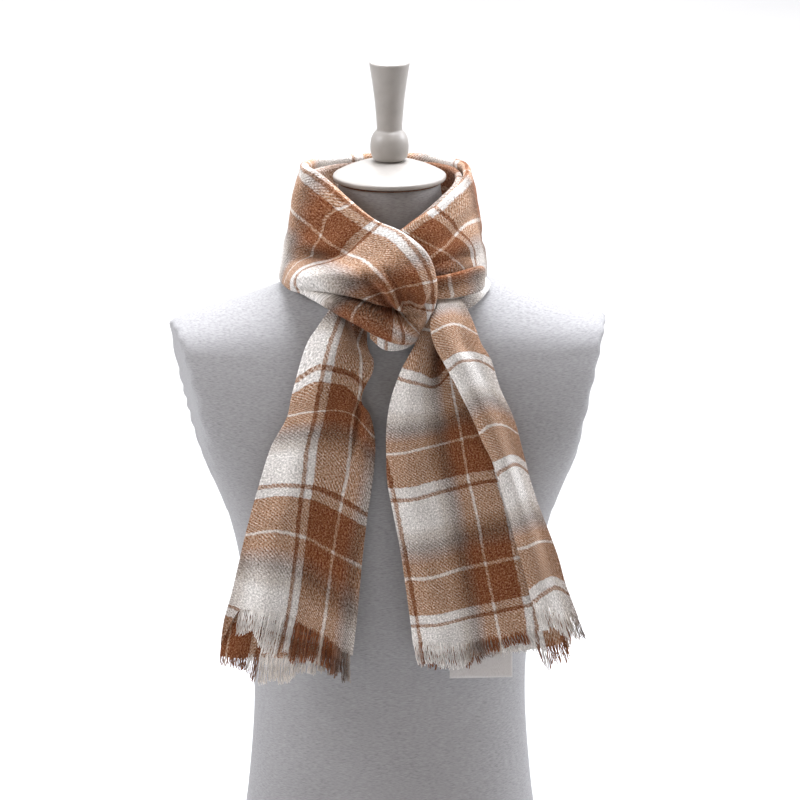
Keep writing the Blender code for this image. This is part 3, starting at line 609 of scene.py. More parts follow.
# %% Building cloth
def wall_corners(rows, columns, edge):
    """Faces as (ring, place) corners: the wall's quads, then strips that close both ends."""
    around = 2 * (columns + 1 + edge)
    faces = [((i, k + 1), (i, k), (i + 1, k), (i + 1, k + 1)) for i in range(rows) for k in range(around)]
    facing = around - edge - 1
    strips = [(k, k + 1, facing - k - 1, facing - k) for k in range(columns)]
    strips += [tuple(range(columns, columns + edge + 2)), (*range(facing, around), 0)]
    for i, way in ((0, 1), (rows, -1)):
        faces += [tuple((i, k) for k in strip[::way]) for strip in strips]
    return faces


def cloth(name, sheet, rows, columns, folded=False, edge=5):
    """A closed cloth wall on a sheet, with the sett's thread counts as its UV map."""
    grid = sheet_grid(sheet, rows, columns)
    turns = np.arange(1, edge + 1) * math.pi / (edge + 1)
    points = wall_rings(sheet, grid, turns)
    weft, warp = wall_threads(sheet, *grid[:2], turns, folded)
    corners, around = wall_corners(rows, columns, edge), points.shape[1]
    faces = [tuple(i * around + k % around for i, k in face) for face in corners]
    uv = [(weft[i, k], warp[i, k]) for face in corners for i, k in face]
    made = new_piece(name, points.reshape(-1, 3), faces, brushed_wool, uv)
    print(f"{name}: {len(faces)} faces, {sheet.step * (len(sheet.rows) - 1):.0f} mm long")
    return made


print("faces of a 1 x 1 wall:", len(wall_corners(1, 1, 5)))

# %% [markdown]
# ## The wound stretches
# The tables repeat the solids' own rows. Left and right band are one stretch of cloth on the
# real scarf, so they are one sheet here too, from the puffed knot in front, round the
# onlooker's left and the back, to where the right band dives behind the knot.

# %% Rows round the neck
WRAP = 9.0             # the folded scarf's thickness, with air between its layers
# azimuth, radius and height of the upper edge, the same of the lower edge, bow, thickness
COLLAR = (
    (373.5, 98.5, 627, 368, 102.5, 607.5, 1, 6.0), (376.5, 101, 636, 364, 104.5, 608, 3, 8.0),
    (379, 104, 647, 357, 106, 612, 5, WRAP),
    (380, 106, 660, 348, 107, 620, 6, WRAP), (379, 107, 675, 340, 107, 629, 7, WRAP),
    (376, 104, 693, 333, 106, 636, 8, WRAP), (370, 98, 706, 326, 105, 641, 8, WRAP),
    (361, 90, 716, 318, 104, 645, 8, WRAP), (348, 83, 723, 308, 103, 647, 7, WRAP),
    (331, 79, 738, 297, 102, 648, 5, WRAP), (314, 78, 752, 290, 102, 647, 4, WRAP),
    (298, 79, 760, 284, 102, 646, 3, WRAP), (281, 80, 761, 277, 101, 645, 2, WRAP),
    (265, 80, 759, 266, 101, 645, 2, WRAP), (246, 81, 755, 248, 101, 644, 2, WRAP),
    (224, 82, 753, 226, 100, 641, 3, WRAP), (201, 82, 751, 200, 97, 637, 3, WRAP),
    (178, 83, 750, 178, 96, 636, 3, WRAP), (155, 82, 751, 157, 97, 638, 3, WRAP),
    (135, 80, 752, 136, 97, 641, 3, WRAP), (118, 78, 752, 118, 95, 645, 3, WRAP),
    (106, 75, 752, 106, 91, 646, 4, 8.5),
    (95, 72, 751, 95, 89, 646, 4, 8.0), (83, 71, 750, 83, 88, 647.5, 4, 8.0),
    (72, 70, 749, 73, 88, 654, 4, 8.0), (62, 70, 746, 62, 90, 662, 4, 8.0),
    (50, 69, 741, 51, 91, 667, 4, 8.0),
    (34, 70, 731, 41, 92, 667, 3, 8.0), (16, 73, 722, 31, 91, 666, 3, 8.0),
    (4, 76, 712, 22, 88, 665, 2, 8.0), (-8, 78, 702, 12, 86, 662, 1, 8.0),
    (-18, 78, 692, 2, 84, 658, 0, 6.0),
)
INNER_TURN = (
    (318, 66, 733, 318, 68, 690, 0, 5.0), (300, 70.5, 744, 300, 72, 690, 0, 7.0),
    (270, 73.5, 749, 270, 75, 690, 0, 7.0), (225, 75.5, 746, 225, 77, 690, 0, 7.0),
    (180, 76.5, 744, 180, 78, 690, 0, 7.0), (140, 74.5, 746, 140, 76, 690, 0, 7.0),
    (110, 69, 747, 110, 72, 690, 0, 7.0), (85, 65.5, 746, 85, 70, 690, 0, 7.0),
    (65, 64.5, 742, 65, 69, 688, 0, 7.0), (45, 64.5, 735, 45, 69, 684, 0, 7.0),
    (25, 66, 724, 28, 69, 680, 0, 6.0), (8, 68, 710, 14, 71, 676, 0, 5.0),
)
STRAP = (
    (60, 98.2, 668, 58, 98.7, 652, 0, 6.0), (53, 100.2, 672, 52, 101.7, 648.5, 2, 7.0),
    (44, 100.7, 673, 44, 102.7, 648, 2, 7.0), (34, 100.7, 672, 34, 102.7, 648, 2, 7.0),
    (24, 97.7, 670, 24, 100.2, 648, 2, 7.0), (14, 92.7, 668, 14, 94.7, 648, 1, 6.0),
)
UNDER_RIGHT = (
    (74, 90.5, 653, 74, 98, 644, 0, 4.5), (64, 90.5, 650.5, 64, 98, 640.5, 1, 4.5),
    (54, 88, 645, 54, 97, 635, 1, 4.5), (42, 86, 638, 42, 94, 627.5, 0, 4.0),
)
UNDER_KNOT = (
    (12, 90.7, 624, 11, 94.7, 606, 0, 3.5), (4, 98.2, 624, 3, 101.2, 602, 1, 4.0),
    (-6, 100.2, 630, -6, 103.2, 602, 1, 4.0), (-15, 98.7, 638, -14, 101.2, 612, 0, 3.5),
)
print("rows: collar", len(COLLAR), "inner turn", len(INNER_TURN), "strap", len(STRAP))

# %% [markdown]
# ## Creases round the neck
# Cloth that is gathered folds along lines, which run together at the knot. A valley has a
# negative height. Those that gather the bight into the knot are narrow and sharp, and those
# on the back are broad and soft. Sculpting by hand could do the same, but a table can be
# read again, and changed a line at a time.

# %% Creases round the neck
# half width, sharpness, then (row, share across, height)
COLLAR_FOLDS = (
    # the valley over the knot's puff, and the puff below it
    (6.5, 0.6, (12.0, 0.84, 0.0), (10.84, 0.74, -5.0), (10.08, 0.69, -9.0), (9.34, 0.62, -12.0),
     (8.6, 0.54, -13.0), (8.16, 0.42, -11.0), (8.04, 0.32, -7.0), (8.0, 0.20, -3.0)),
    (15.0, 0.0, (9.8, 0.94, 2.0), (8.7, 0.84, 9.0), (7.4, 0.68, 13.0), (6.2, 0.54, 13.0),
     (5.0, 0.38, 9.0), (3.6, 0.22, 0.0)),
    (15.0, 0.0, (11.6, 0.52, 0.0), (10.0, 0.44, -4.5), (9.0, 0.34, -4.5), (8.4, 0.20, 0.0)),
    # the trough that parts the lower strand from the puff
    (3.8, 0.8, (8.6, 0.96, -2.0), (7.4, 0.89, -11.0), (6.3, 0.85, -17.0), (5.26, 0.78, -20.0),
     (4.66, 0.745, -20.0), (3.66, 0.66, -18.0), (2.5, 0.56, -15.0), (1.2, 0.46, -8.0)),
    # the lower strand's own round back
    (8.0, 0.0, (7.4, 0.99, 2.0), (5.4, 0.92, 5.0), (3.8, 0.84, 6.0), (2.2, 0.76, 5.0), (0.8, 0.68, 0.0)),
    # pleats that run together where the bight goes through the loop
    (5.5, 0.7, (6.2, 0.36, 0.0), (5.2, 0.40, -9.0), (4.0, 0.45, -14.0), (3.0, 0.48, -14.0),
     (2.2, 0.50, -7.0)),
    (5.0, 0.6, (5.6, 0.30, 0.0), (4.2, 0.36, -9.0), (3.0, 0.39, -13.0), (2.0, 0.41, -7.0)),
    (5.0, 0.5, (3.6, 0.10, 0.0), (2.84, 0.18, -5.0), (2.34, 0.30, -6.0), (1.84, 0.42, -3.0)),
    (5.0, 0.7, (7.0, 0.47, 0.0), (6.0, 0.53, -7.0), (5.2, 0.57, -11.0), (4.2, 0.61, -14.0),
     (3.0, 0.61, -13.0), (2.0, 0.59, -7.0)),
    # the ridge between two of them
    (4.0, 0.3, (5.8, 0.47, 0.0), (4.6, 0.52, 3.0), (3.6, 0.54, 3.0), (2.8, 0.55, 0.0)),
    # small dents on the onlooker's left
    (9.0, 0.2, (12.6, 0.30, 0.0), (11.4, 0.26, -2.5), (10.4, 0.24, -2.0), (9.4, 0.20, 0.0)),
    (7.0, 0.4, (13.6, 0.06, 0.0), (12.4, 0.10, -3.0), (11.6, 0.20, -1.5), (11.0, 0.30, 0.0)),
    (13.0, 0.1, (12.6, 0.60, 0.0), (14.0, 0.50, -3.5), (15.8, 0.42, 0.0)),
    # broad slack folds on the back
    (9.0, 0.3, (14.4, 0.80, 0.0), (15.6, 0.74, -2.5), (17.0, 0.80, 0.0)),
    (12.0, 0.1, (16.0, 0.70, 0.0), (17.4, 0.60, -3.5), (19.2, 0.66, 0.0)),
    (8.0, 0.3, (17.0, 0.28, 0.0), (18.2, 0.34, -2.5), (19.6, 0.30, -1.0), (21.0, 0.36, 0.0)),
    (7.0, 0.3, (20.6, 0.76, 0.0), (21.8, 0.68, -2.5), (23.4, 0.60, -1.5), (24.4, 0.50, 0.0)),
    # the right band, drawn towards the knot
    (8.0, 0.3, (22.6, 0.30, 0.0), (24.6, 0.38, -2.5), (26.6, 0.46, -3.0), (28.6, 0.52, 0.0)),
    (6.0, 0.5, (25.2, 0.90, 0.0), (26.6, 0.78, -3.0), (28.0, 0.76, -2.5), (29.5, 0.80, 0.0)),
)
print("creases:", len(COLLAR_FOLDS))

# %% [markdown]
# ## Charts of the sett
# Where does each thread of the plaid lie? A flat cloth would need one number; a gathered one
# is pulled and slides over itself. So each sheet has a chart, filled in as a tailor chalks
# marks. The first table names a weft thread by its place in the sett and gives the row where
# it crosses at five shares of the breadth. The second gives, row by row, which warp threads
# lie at those shares.

# %% Charts of the wound stretches
# weft place in the sett; the rows where it crosses at 0, 1/4, 1/2, 3/4 and 1 across
COLLAR_WEFT = (
    (-160, -0.6, -0.6, -0.4, -1.6, -2.0), (-115.6, 1.6, 2.4, 3.3, 2.15, 1.2),
    (-71.3, 3.66, 4.33, 4.75, 5.12, 4.15), (2.4, 7.78, 7.92, 8.12, 8.66, 8.34),
    (46.7, 8.85, 9.48, 9.32, 9.76, 10.45), (90, 11.9, 12.6, 12.2, 12.3, 12.8),
    (200, 14.72, 15.0, 15.3, 15.4, 15.44), (368, 20.1, 20.05, 20.0, 19.9, 19.6),
    (474.4, 27.3, 26.8, 26.3, 25.65, 25.75), (518.7, 29.1, 28.5, 27.9, 27.2, 26.6),
    (572, 31, 31, 31, 31, 31),
)
# row; the warp threads at 0, 1/4, 1/2, 3/4 and 1 across
COLLAR_WARP = (
    (0, -7, 10, 30, 60, 42), (1.5, -7, 10, 30, 58, 40), (3, -7, 13, 31, 54, 37), (4.5, -7, 15, 38, 60, 39),
    (5.5, -6, 17, 42, 63, 44), (7, -1.5, 21, 46, 70, 82), (9, -1, 20, 44, 76, 96), (11, -1.6, 21, 46, 74, 98),
    (14, 0, 25, 50, 76, 102), (18, 2, 26, 50, 76, 102), (20, 4, 23, 45, 69, 92), (22, 4, 22, 41, 62, 82),
    (26, 4, 20, 39, 57, 74), (28, 4, 16, 30, 45, 60), (31, 4, 14, 26, 38, 50),
)
INNER_WEFT = ((330, 0, 0, 0, 0, 0), (200, 3, 3, 3, 3, 3), (118, 7, 7, 7, 7, 7), (66, 11, 11, 11, 11, 11))
INNER_WARP = ((0, 58, 68, 78, 88, 98), (11, 58, 68, 78, 90, 100))
STRAP_WEFT = ((98, 0, 0, 0, 0, 0), (46.7, 3.5, 3.5, 3.5, 3.4, 3.4), (24, 5, 5, 5, 5, 5))
STRAP_WARP = ((0, 42, 55, 64, 72, 80), (5, 42, 52, 60, 70, 80))
UNDER_RIGHT_WEFT = ((112, 0, 0, 0, 0, 0), (68, 3, 3, 3, 3, 3))
UNDER_RIGHT_WARP = ((0, -30, -24, -18, -12, -6), (3, -30, -24, -18, -12, -6))
UNDER_KNOT_WEFT = ((-34, 0, 0, 0, 0, 0), (2.4, 2, 2, 2, 2, 2), (22, 3, 3, 3, 3, 3))
UNDER_KNOT_WARP = ((0, 82, 88, 94, 100, 106), (3, 82, 88, 94, 100, 106))
print("chalk marks on the collar:", len(COLLAR_WEFT), "weft,", len(COLLAR_WARP), "warp")

# %% The band round the neck, its inner turn and the strands at the knot
# sheet, rows and columns of faces, faces round an edge, the solids that it stands for
WOUND_PIECES = {
    "scarf_collar_and_knot": (Wound(COLLAR, COLLAR_FOLDS, (COLLAR_WEFT, COLLAR_WARP), 0.45, 3),
                              330, 64, 8, ("wrap_left", "wrap_right")),
    "scarf_inner_turn": (Wound(INNER_TURN, (), (INNER_WEFT, INNER_WARP), 0.35, 5),
                         160, 24, 5, ("wrap_inner",)),
    "scarf_strap": (Wound(STRAP, (), (STRAP_WEFT, STRAP_WARP), 0.3, 7), 60, 22, 5, ("loop_return",)),
    "scarf_under_strand_right": (Wound(UNDER_RIGHT, (), (UNDER_RIGHT_WEFT, UNDER_RIGHT_WARP), 0.2, 8),
                                 40, 14, 5, ("collar_under",)),
    "scarf_under_strand_knot": (Wound(UNDER_KNOT, (), (UNDER_KNOT_WEFT, UNDER_KNOT_WARP), 0.2, 9),
                                40, 18, 5, ("loop_under",)),
}
for name, (sheet, rows, columns, edge, nodes) in WOUND_PIECES.items():
    cloth(name, sheet, rows, columns, folded=True, edge=edge)
    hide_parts(*nodes)

# %% [markdown]
# ## The hanging ends
# Each end hangs from the knot and fans out to its fringed hem. The left end is folded down
# its onlooker's-left side, so a second layer follows the first at a small distance. The right
# end is a flat panel whose outer side is rolled forward, with its own back layer. A back
# layer's rows are worked out from the front's, so that the two hang together and never cross.

# %% Rows of the ends
# left x, y, z; right x, y, z; bow; how far the left and the right edge round back
TAIL_LEFT = (
    (-55, -72, 652, -24, -72, 642, 3, 1, 0.5), (-61, -82, 638, -25, -81, 622, 5, 1, 0.5),
    (-73, -92, 624, -24, -88, 604, 7, 1, 0.5), (-86, -98, 606, -22, -95, 584, 8, 1, 0.5),
    (-99, -102, 562, -32, -103, 556, 8, 1, 0.4), (-104.6, -104, 538, -25, -107, 540, 7, 1, 0.4),
    (-119, -104.6, 511, -21, -109.6, 514, 6, 1, 0.4), (-129, -104.6, 479, -23, -109.6, 484, 6, 1, 0.4),
    (-141, -104.6, 436, -29, -109.6, 441, 6, 1, 0.4), (-150, -104.6, 399, -34, -109.6, 396, 6, 1, 0.4),
    (-158, -104.6, 366, -38, -109.6, 350, 6, 1, 0.4), (-165, -104.6, 340, -41, -109.6, 323, 6, 1, 0.4),
    (-170, -104.6, 303, -44, -109.5, 297, 5, 1, 0.4),
)
RIGHT_PANEL = (
    (27, -82, 641, 50, -82, 642, 2, 0.5, 0.1), (22, -90, 625, 52, -91, 628, 3, 0.5, 0.1),
    (18.5, -96, 606, 60, -96, 605, 4, 0.5, 0.1), (4, -102, 582, 70, -101, 578, 5, 0.5, 0.1),
    (-6, -107, 555, 80, -105, 553, 5, 0.5, 0.1), (-10, -110, 527, 89, -108, 526, 5, 0.5, 0.1),
    (-10, -111, 503, 97, -110, 501, 5, 0.5, 0.1), (-9, -111, 477, 106, -110, 477, 5, 0.5, 0.1),
    (-3, -111, 444, 116, -110, 447, 5, 0.5, 0.1), (3, -111, 411, 123, -110, 413, 5, 0.5, 0.1),
    (8, -111, 374, 131, -110, 376, 5, 0.5, 0.1), (12, -111, 342, 138, -110, 348, 5, 0.5, 0.1),
    (15, -110, 312, 146, -109, 322, 5, 0.5, 0.1),
)
RIGHT_ROLL = (
    (39, -86, 647.5, 60, -78, 646, 3, 1, 1), (37, -96, 641, 67, -89, 637, 7, 1, 1),
    (31, -105, 630, 75, -97, 619, 10, 1, 1), (34, -112, 612, 80, -101, 606, 10, 1, 1),
    (45, -115, 593, 88, -104, 592, 9, 1, 1), (57, -117, 571, 97, -106, 564, 8, 1, 1),
    (69, -115.9, 547, 109, -108, 537, 8, 1, 1), (81, -115.9, 520, 117, -109, 507, 7, 1, 1),
    (92, -115.9, 496, 128, -109, 467, 7, 1, 1), (104, -115.9, 454, 140, -109, 432, 6, 1, 1),
    (112, -115.9, 421, 151, -109, 402, 6, 1, 1), (121, -115.9, 386, 160, -109, 371, 5, 1, 1),
    (130, -115.9, 345, 172, -108, 338, 5, 1, 1),
)
RIGHT_BACK_END = (17, -107, 301, 176, -105.5, 303, 4, 0.5, 0.5)
LAYER_STEP = 3.3       # from a layer's middle to the next one's
BACK_TOP = 642.0       # the back layers reach up to here, behind the knot
# height, how much further apart the two layers lie there
LEFT_PART = ((500, 0), (550, 1.5), (585, 2.5))
RIGHT_PART = ((500, 0.4), (540, 2.5), (575, 4.5), (630, 4.5))


def right_back_rows():
    """The back layer runs from the panel's left edge to the roll's right edge."""
    rows = []
    for panel, roll in zip(RIGHT_PANEL, RIGHT_ROLL):
        step = LAYER_STEP + np.interp(panel[2], *np.array(RIGHT_PART).T)
        rows.append((panel[0] + 2, panel[1] + step, min(panel[2], BACK_TOP),
                     roll[3] - 1, roll[4] + step, min(roll[5], BACK_TOP), panel[6] - 1, 0.5, 0.5))
    return rows[:-1] + [RIGHT_BACK_END]


print("left end hangs", round(TAIL_LEFT[0][2] - TAIL_LEFT[-1][2]), "mm, right end",
      round(RIGHT_PANEL[0][2] - RIGHT_PANEL[-1][2]), "mm")

# %% Creases of the ends
# half width, sharpness, then (row, share across, height)
LEFT_FOLDS = (
    # two pleats that fan out from the knot
    (10.0, 0.3, (0.0, 0.60, -11.0), (1.0, 0.68, -17.0), (1.9, 0.81, -12.0), (2.7, 0.92, 0.0)),
    (5.5, 0.7, (3.2, 1.0, 0.0), (4.0, 0.95, -7.0), (4.75, 0.86, -9.0), (5.5, 0.80, -8.0),
     (6.4, 0.77, -5.5), (7.6, 0.75, -3.0), (9.0, 0.74, 0.0)),
    # the round back beside them, down to the hem, and a dent
    (12.0, 0.0, (0.2, 0.30, 0.0), (1.7, 0.32, 8.0), (3.6, 0.36, 9.0), (5.0, 0.36, 5.0)),
    (20.0, 0.0, (4.6, 0.34, 0.0), (6.4, 0.30, 10.0), (9.0, 0.27, 13.0), (12.0, 0.26, 13.0)),
    (9.0, 0.2, (7.4, 0.54, 0.0), (9.0, 0.56, -1.6), (10.4, 0.58, 0.0)),
)
LEFT_BACK_FOLDS = LEFT_FOLDS[:2] + (
    (12.0, 0.0, (8.0, 0.10, 0.0), (11.0, 0.12, 3.0), (12.0, 0.12, 4.0)),
)
PANEL_FOLDS = (
    (9.0, 0.3, (0.4, 0.72, -4.0), (1.5, 0.60, -12.0), (2.3, 0.56, -12.0), (3.0, 0.53, -7.0),
     (3.7, 0.50, 0.0)),
    (12.0, 0.1, (0.4, 0.14, 0.0), (1.6, 0.14, 6.0), (3.2, 0.16, 7.0), (4.6, 0.18, 4.0)),
    (22.0, 0.0, (3.4, 0.16, 0.0), (5.0, 0.16, 10.0), (9.0, 0.18, 13.0), (12.0, 0.22, 10.0)),
    (9.0, 0.2, (4.4, 0.48, 0.0), (5.6, 0.52, -2.0), (7.2, 0.60, 0.0)),
)
RIGHT_BACK_FOLDS = (
    (26.0, 0.0, (0.0, 0.42, -6.0), (2.0, 0.42, -10.0), (3.6, 0.42, -4.0), (5.0, 0.42, 0.0)),
)
ROLL_FOLDS = (
    (6.0, 0.2, (1.2, 0.60, 0.0), (3.0, 0.61, -2.0), (5.4, 0.62, 0.0)),
    (15.0, 0.0, (1.0, 0.36, 0.0), (4.0, 0.32, 5.0), (8.2, 0.30, 6.5), (10.4, 0.32, 6.0), (12.0, 0.36, 4.0)),
)
# share across, how far the hem stands above the last row
LEFT_FRONT_HEM = ((0.0, 12), (0.04, 26), (0.09, 50), (0.2, 55), (0.3, 53), (0.49, 48), (0.57, 39),
                  (0.74, 31), (0.9, 16), (1.0, 11))
LEFT_BACK_HEM = ((0.0, 2), (0.3, 3), (0.5, 3), (1.0, 6))
PANEL_HEM = ((0.0, 3), (0.12, 5), (0.3, 1), (0.55, 1.5), (0.7, 3), (0.85, 5), (1.0, 6))
ROLL_HEM = ((0.0, 6), (1.0, 0))
RIGHT_BACK_HEM = ((0.0, 2), (0.4, 0), (0.8, 3), (0.9, 4), (1.0, 16))
print("creases on the fronts:", len(LEFT_FOLDS) + len(PANEL_FOLDS) + len(ROLL_FOLDS))

# %% Charts of the ends
# weft: place in the sett, then the rows where it crosses; warp: row, then the threads there
LEFT_WEFT = (
    (-77, 0, 0, 0, 0, 0), (2.4, 3.78, 3.36, 3.33, 3.38, 3.62), (46.7, 4.90, 4.62, 4.55, 4.75, 5.84),
    (120.4, 7.22, 7.10, 7.25, 7.56, 7.94), (164.7, 8.28, 8.10, 8.35, 8.72, 9.05),
    (236, 10.3, 10.45, 10.6, 11.1, 11.8), (280, 12, 12, 12.2, 12.7, 13.2),
)
LEFT_WARP = (
    (0, -4, 4, 13, 21, 30), (3, -17, -1, 16, 32, 49), (4, -19, -4, 10, 24.5, 39), (5, -22, -4, 15, 33, 54),
    (7, -32, -10, 13, 35, 58), (9, -46, -21, 7.6, 36, 66), (12, -50, -24, 6.7, 36, 65),
)
LEFT_BACK_WEFT = ((-77, 0, 0, 0, 0, 0), (2.4, 3.4, 3.4, 3.4, 3.4, 3.4), (236, 10.5, 10.6, 10.8, 11, 11.2),
                  (278, 12, 12, 12.2, 12.4, 12.6))
LEFT_BACK_WARP = ((0, -60, -78, -92, -108, -124), (8, -62, -94, -116, -140, -164),
                  (12, -66, -106, -128, -150, -178))
PANEL_WEFT = (
    (75, 0, 0, 0, 0, 0), (11, 2.95, 3.06, 3.22, 2.55, 2.25), (2.4, 3.22, 3.36, 3.46, 2.80, 2.5),
    (-71.3, 5.90, 5.69, 5.53, 5.27, 5.10), (-115.6, 7.50, 7.39, 7.25, 7.06, 6.95),
    (-189.3, 9.76, 9.65, 9.53, 9.40, 9.28), (-233.6, 11.2, 11.1, 11.02, 10.87, 10.7),
    (-262, 12.1, 12, 12, 12, 12),
)
PANEL_WARP = (
    (0, -26, -38, -50, -62, -74), (3, -12, -33, -55, -79, -97), (5, -4, -28, -53, -80, -104),
    (7, 5, -24, -54, -85, -112), (9, 6, -25, -57, -87, -114), (11, 8, -24, -56, -88, -115),
    (12, 9, -24, -57, -90, -120),
)
ROLL_WEFT = (
    (92, 0, 0, 0, 0, 0), (46.7, 2.6, 2.08, 1.80, 1.86, 2.25), (12, 3.9, 3.54, 3.40, 3.42, 3.95),
    (2.4, 4.3, 3.92, 3.87, 3.96, 4.4), (-45, 5.85, 5.47, 5.38, 5.44, 5.78),
    (-71.3, 6.8, 6.42, 6.30, 6.34, 6.62), (-115.6, 8.3, 7.90, 7.62, 7.50, 7.62),
    (-189.3, 10.3, 10.05, 9.82, 9.67, 9.6), (-233.6, 11.75, 11.42, 11.23, 11.12, 11.3),
    (-262, 12.7, 12.5, 12.3, 12.2, 12.4),
)
ROLL_WARP = ((0, -113, -126, -137, -148, -158), (12, -113, -127, -140, -152, -164))
RIGHT_BACK_WEFT = ((75, 0, 0, 0, 0, 0), (-71.3, 5.84, 5.84, 5.84, 5.84, 5.84), (-258, 12, 12, 12, 12, 12))
RIGHT_BACK_WARP = ((0, -250, -232, -220, -205, -190), (6, -300, -272, -242, -212, -182),
                   (12, -330, -296, -262, -218, -172))
print("chalk marks on the left end:", len(LEFT_WEFT), "weft,", len(LEFT_WARP), "warp")

# %% The cloth of the ends
layers = {
    "left_front": Hanging(TAIL_LEFT, LEFT_FOLDS, (LEFT_WEFT, LEFT_WARP), 0.35, 11, LEFT_FRONT_HEM),
    "left_back": Hanging(TAIL_LEFT, LEFT_BACK_FOLDS, (LEFT_BACK_WEFT, LEFT_BACK_WARP), 0.0, 11,
                         LEFT_BACK_HEM, LAYER_STEP, LEFT_PART, inset=(1, 2)),
    "right_panel": Hanging(RIGHT_PANEL, PANEL_FOLDS, (PANEL_WEFT, PANEL_WARP), 0.35, 13, PANEL_HEM),
    "right_roll": Hanging(RIGHT_ROLL, ROLL_FOLDS, (ROLL_WEFT, ROLL_WARP), 0.35, 14, ROLL_HEM),
    "right_back": Hanging(right_back_rows(), RIGHT_BACK_FOLDS, (RIGHT_BACK_WEFT, RIGHT_BACK_WARP),
                          0.0, 15, RIGHT_BACK_HEM),
}
# rows and columns of faces
LAYER_FACES = {"left_front": (190, 72), "left_back": (120, 44), "right_panel": (190, 72),
               "right_roll": (190, 40), "right_back": (120, 44)}
for key, sheet in layers.items():
    side, layer = key.split("_")
    cloth(f"scarf_{side}_end_{layer}", sheet, *LAYER_FACES[key])
    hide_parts("tail_" + key)

# %% [markdown]
# ## The fringe
# The scarf's ends aren't hemmed. The last weft threads are left out, so the warp hangs free,
# and wear has teased the yarns into soft locks. A particle system could grow them; plain thin
# tubes, bent in a loop, are lighter and export as real meshes. Yarns near each other lean to
# a shared tip, which is what makes a lock, and each keeps the waves that the weave gave it.

# %% Where the yarns leave the cloth
YARN_PITCH = 0.7           # a yarn every so many mm of hem


def yarn_roots(sheet, v0, v1, rng):
    """Rows and shares of a hem's yarns, their roots, and the ways down, aside and out there."""
    last = float(len(sheet.rows) - 1)
    probe = np.linspace(v0, v1, 500)
    hem = sheet.smooth_place(sheet.lifted(np.full(500, last), probe), probe)
    run = np.concatenate([[0], np.cumsum(np.linalg.norm(np.diff(hem, axis=0), axis=1))])
    count = int(run[-1] / YARN_PITCH)
    v = np.interp((np.arange(count) + rng.uniform(0.2, 0.8, count)) * run[-1] / count, run, probe)
    row = sheet.lifted(np.full(count, last), v)
    rooted = row - rng.uniform(0.04, 0.16, count)
    root = sheet.smooth_place(rooted, v)
    down = unit(root - sheet.smooth_place(row - 0.3, v))
    beside = [sheet.smooth_place(row, np.clip(v + step, 0, 1)) for step in (-0.01, 0.01)]
    side = unit(beside[1] - beside[0])
    out = unit(np.cross(down, side))
    lift = sheet.relief(rooted, v)[:, None] + sheet.half(row)[:, None] * rng.uniform(0.5, 1.1, (count, 1))
    return row, v, root + out * lift, down, side, out


print("yarns to 100 mm of hem:", int(100 / YARN_PITCH))

# %% Bending the yarns into locks
YARN_RADIUS, TAPER = 0.5, 0.2      # in mm, and the share of it that a yarn loses to its tip
YARN_BENDS, YARN_SIDES = 12, 3
TWIST = 2.5                # radians along a yarn
CRIMP, CRIMP_TURN = 0.32, 0.6      # the weave's waves: mm to each side, radians for each mm
LOCK = 13                  # yarns that lean together
GATHER = 0.10              # how far a lock's yarns draw together, as a share of their pitch
YARN_CHART = 3.0           # mm of the chart's flecks that show across one yarn


def bent_yarns(sheet, v0, v1, lengths, lean, rng):
    """Rows and shares of a hem's yarns, and their points: yarn, bend, side, place."""
    row, v, root, down, side, out = yarn_roots(sheet, v0, v1, rng)
    count = len(row)
    lock, place = np.arange(count) // LOCK, np.arange(count) % LOCK
    locks = lock[-1] + 1
    lock_lean, lock_lift = rng.normal(0, 1.0, locks)[lock] + lean, rng.normal(0.6, 0.9, locks)[lock]
    long = np.interp((v - v0) / (v1 - v0), *np.array(lengths).T) * rng.uniform(0.84, 1.08, locks)[lock]
    long = (long * rng.uniform(0.93, 1.04, count))[:, None]
    wave, phase, sway, swing = rng.normal(0, 0.5, (count, 4)).T[..., None]
    t = np.linspace(0, 1, YARN_BENDS + 1)
    aside = ((place - (LOCK - 1) / 2) * -YARN_PITCH * GATHER)[:, None] * t ** 1.5
    aside = aside + lock_lean[:, None] * t ** 2 + wave * np.sin(3 * t + phase)
    aside = aside + CRIMP * np.sin(CRIMP_TURN * long * t + 4 * phase)
    ahead = lock_lift[:, None] * t ** 2 + 0.6 * sway * t * np.sin(4 * t + swing)
    centre = root[:, None] + sum(way[:, None] * far[..., None]
                                 for way, far in ((down, long * t), (side, aside), (out, ahead)))
    angle = np.arange(YARN_SIDES) * 2 * math.pi / YARN_SIDES + TWIST * t[:, None]
    ring = (np.cos(angle)[..., None] * side[:, None, None] + np.sin(angle)[..., None] * out[:, None, None])
    radius = YARN_RADIUS * (1 - TAPER * t ** 4)
    return row, v, centre[:, :, None] + radius[:, None, None] * ring


def fringe(key, v0, v1, lean, seed, lengths):
    """Bent, tapering yarns along a layer's hem, in locks that share a tip."""
    sheet = layers[key]
    row, v, points = bent_yarns(sheet, v0, v1, lengths, lean, np.random.default_rng(seed))
    tube = tube_faces(YARN_BENDS + 1, YARN_SIDES)
    corners = sum(len(face) for face in tube)
    yarn_points = (YARN_BENDS + 1) * YARN_SIDES
    faces = [tuple(k * yarn_points + corner for corner in face) for k in range(len(row)) for face in tube]
    uv = [(weft + YARN_CHART * (corner % 2), warp) for weft, warp in zip(*sheet.threads(row, v))
          for corner in range(corners)]
    made = new_piece("yarns_" + key, points.reshape(-1, 3), faces, loose_wool, uv)
    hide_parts("fringe_" + key)
    print(f"{made.name}: {len(row)} yarns, {len(faces)} faces")
    return made


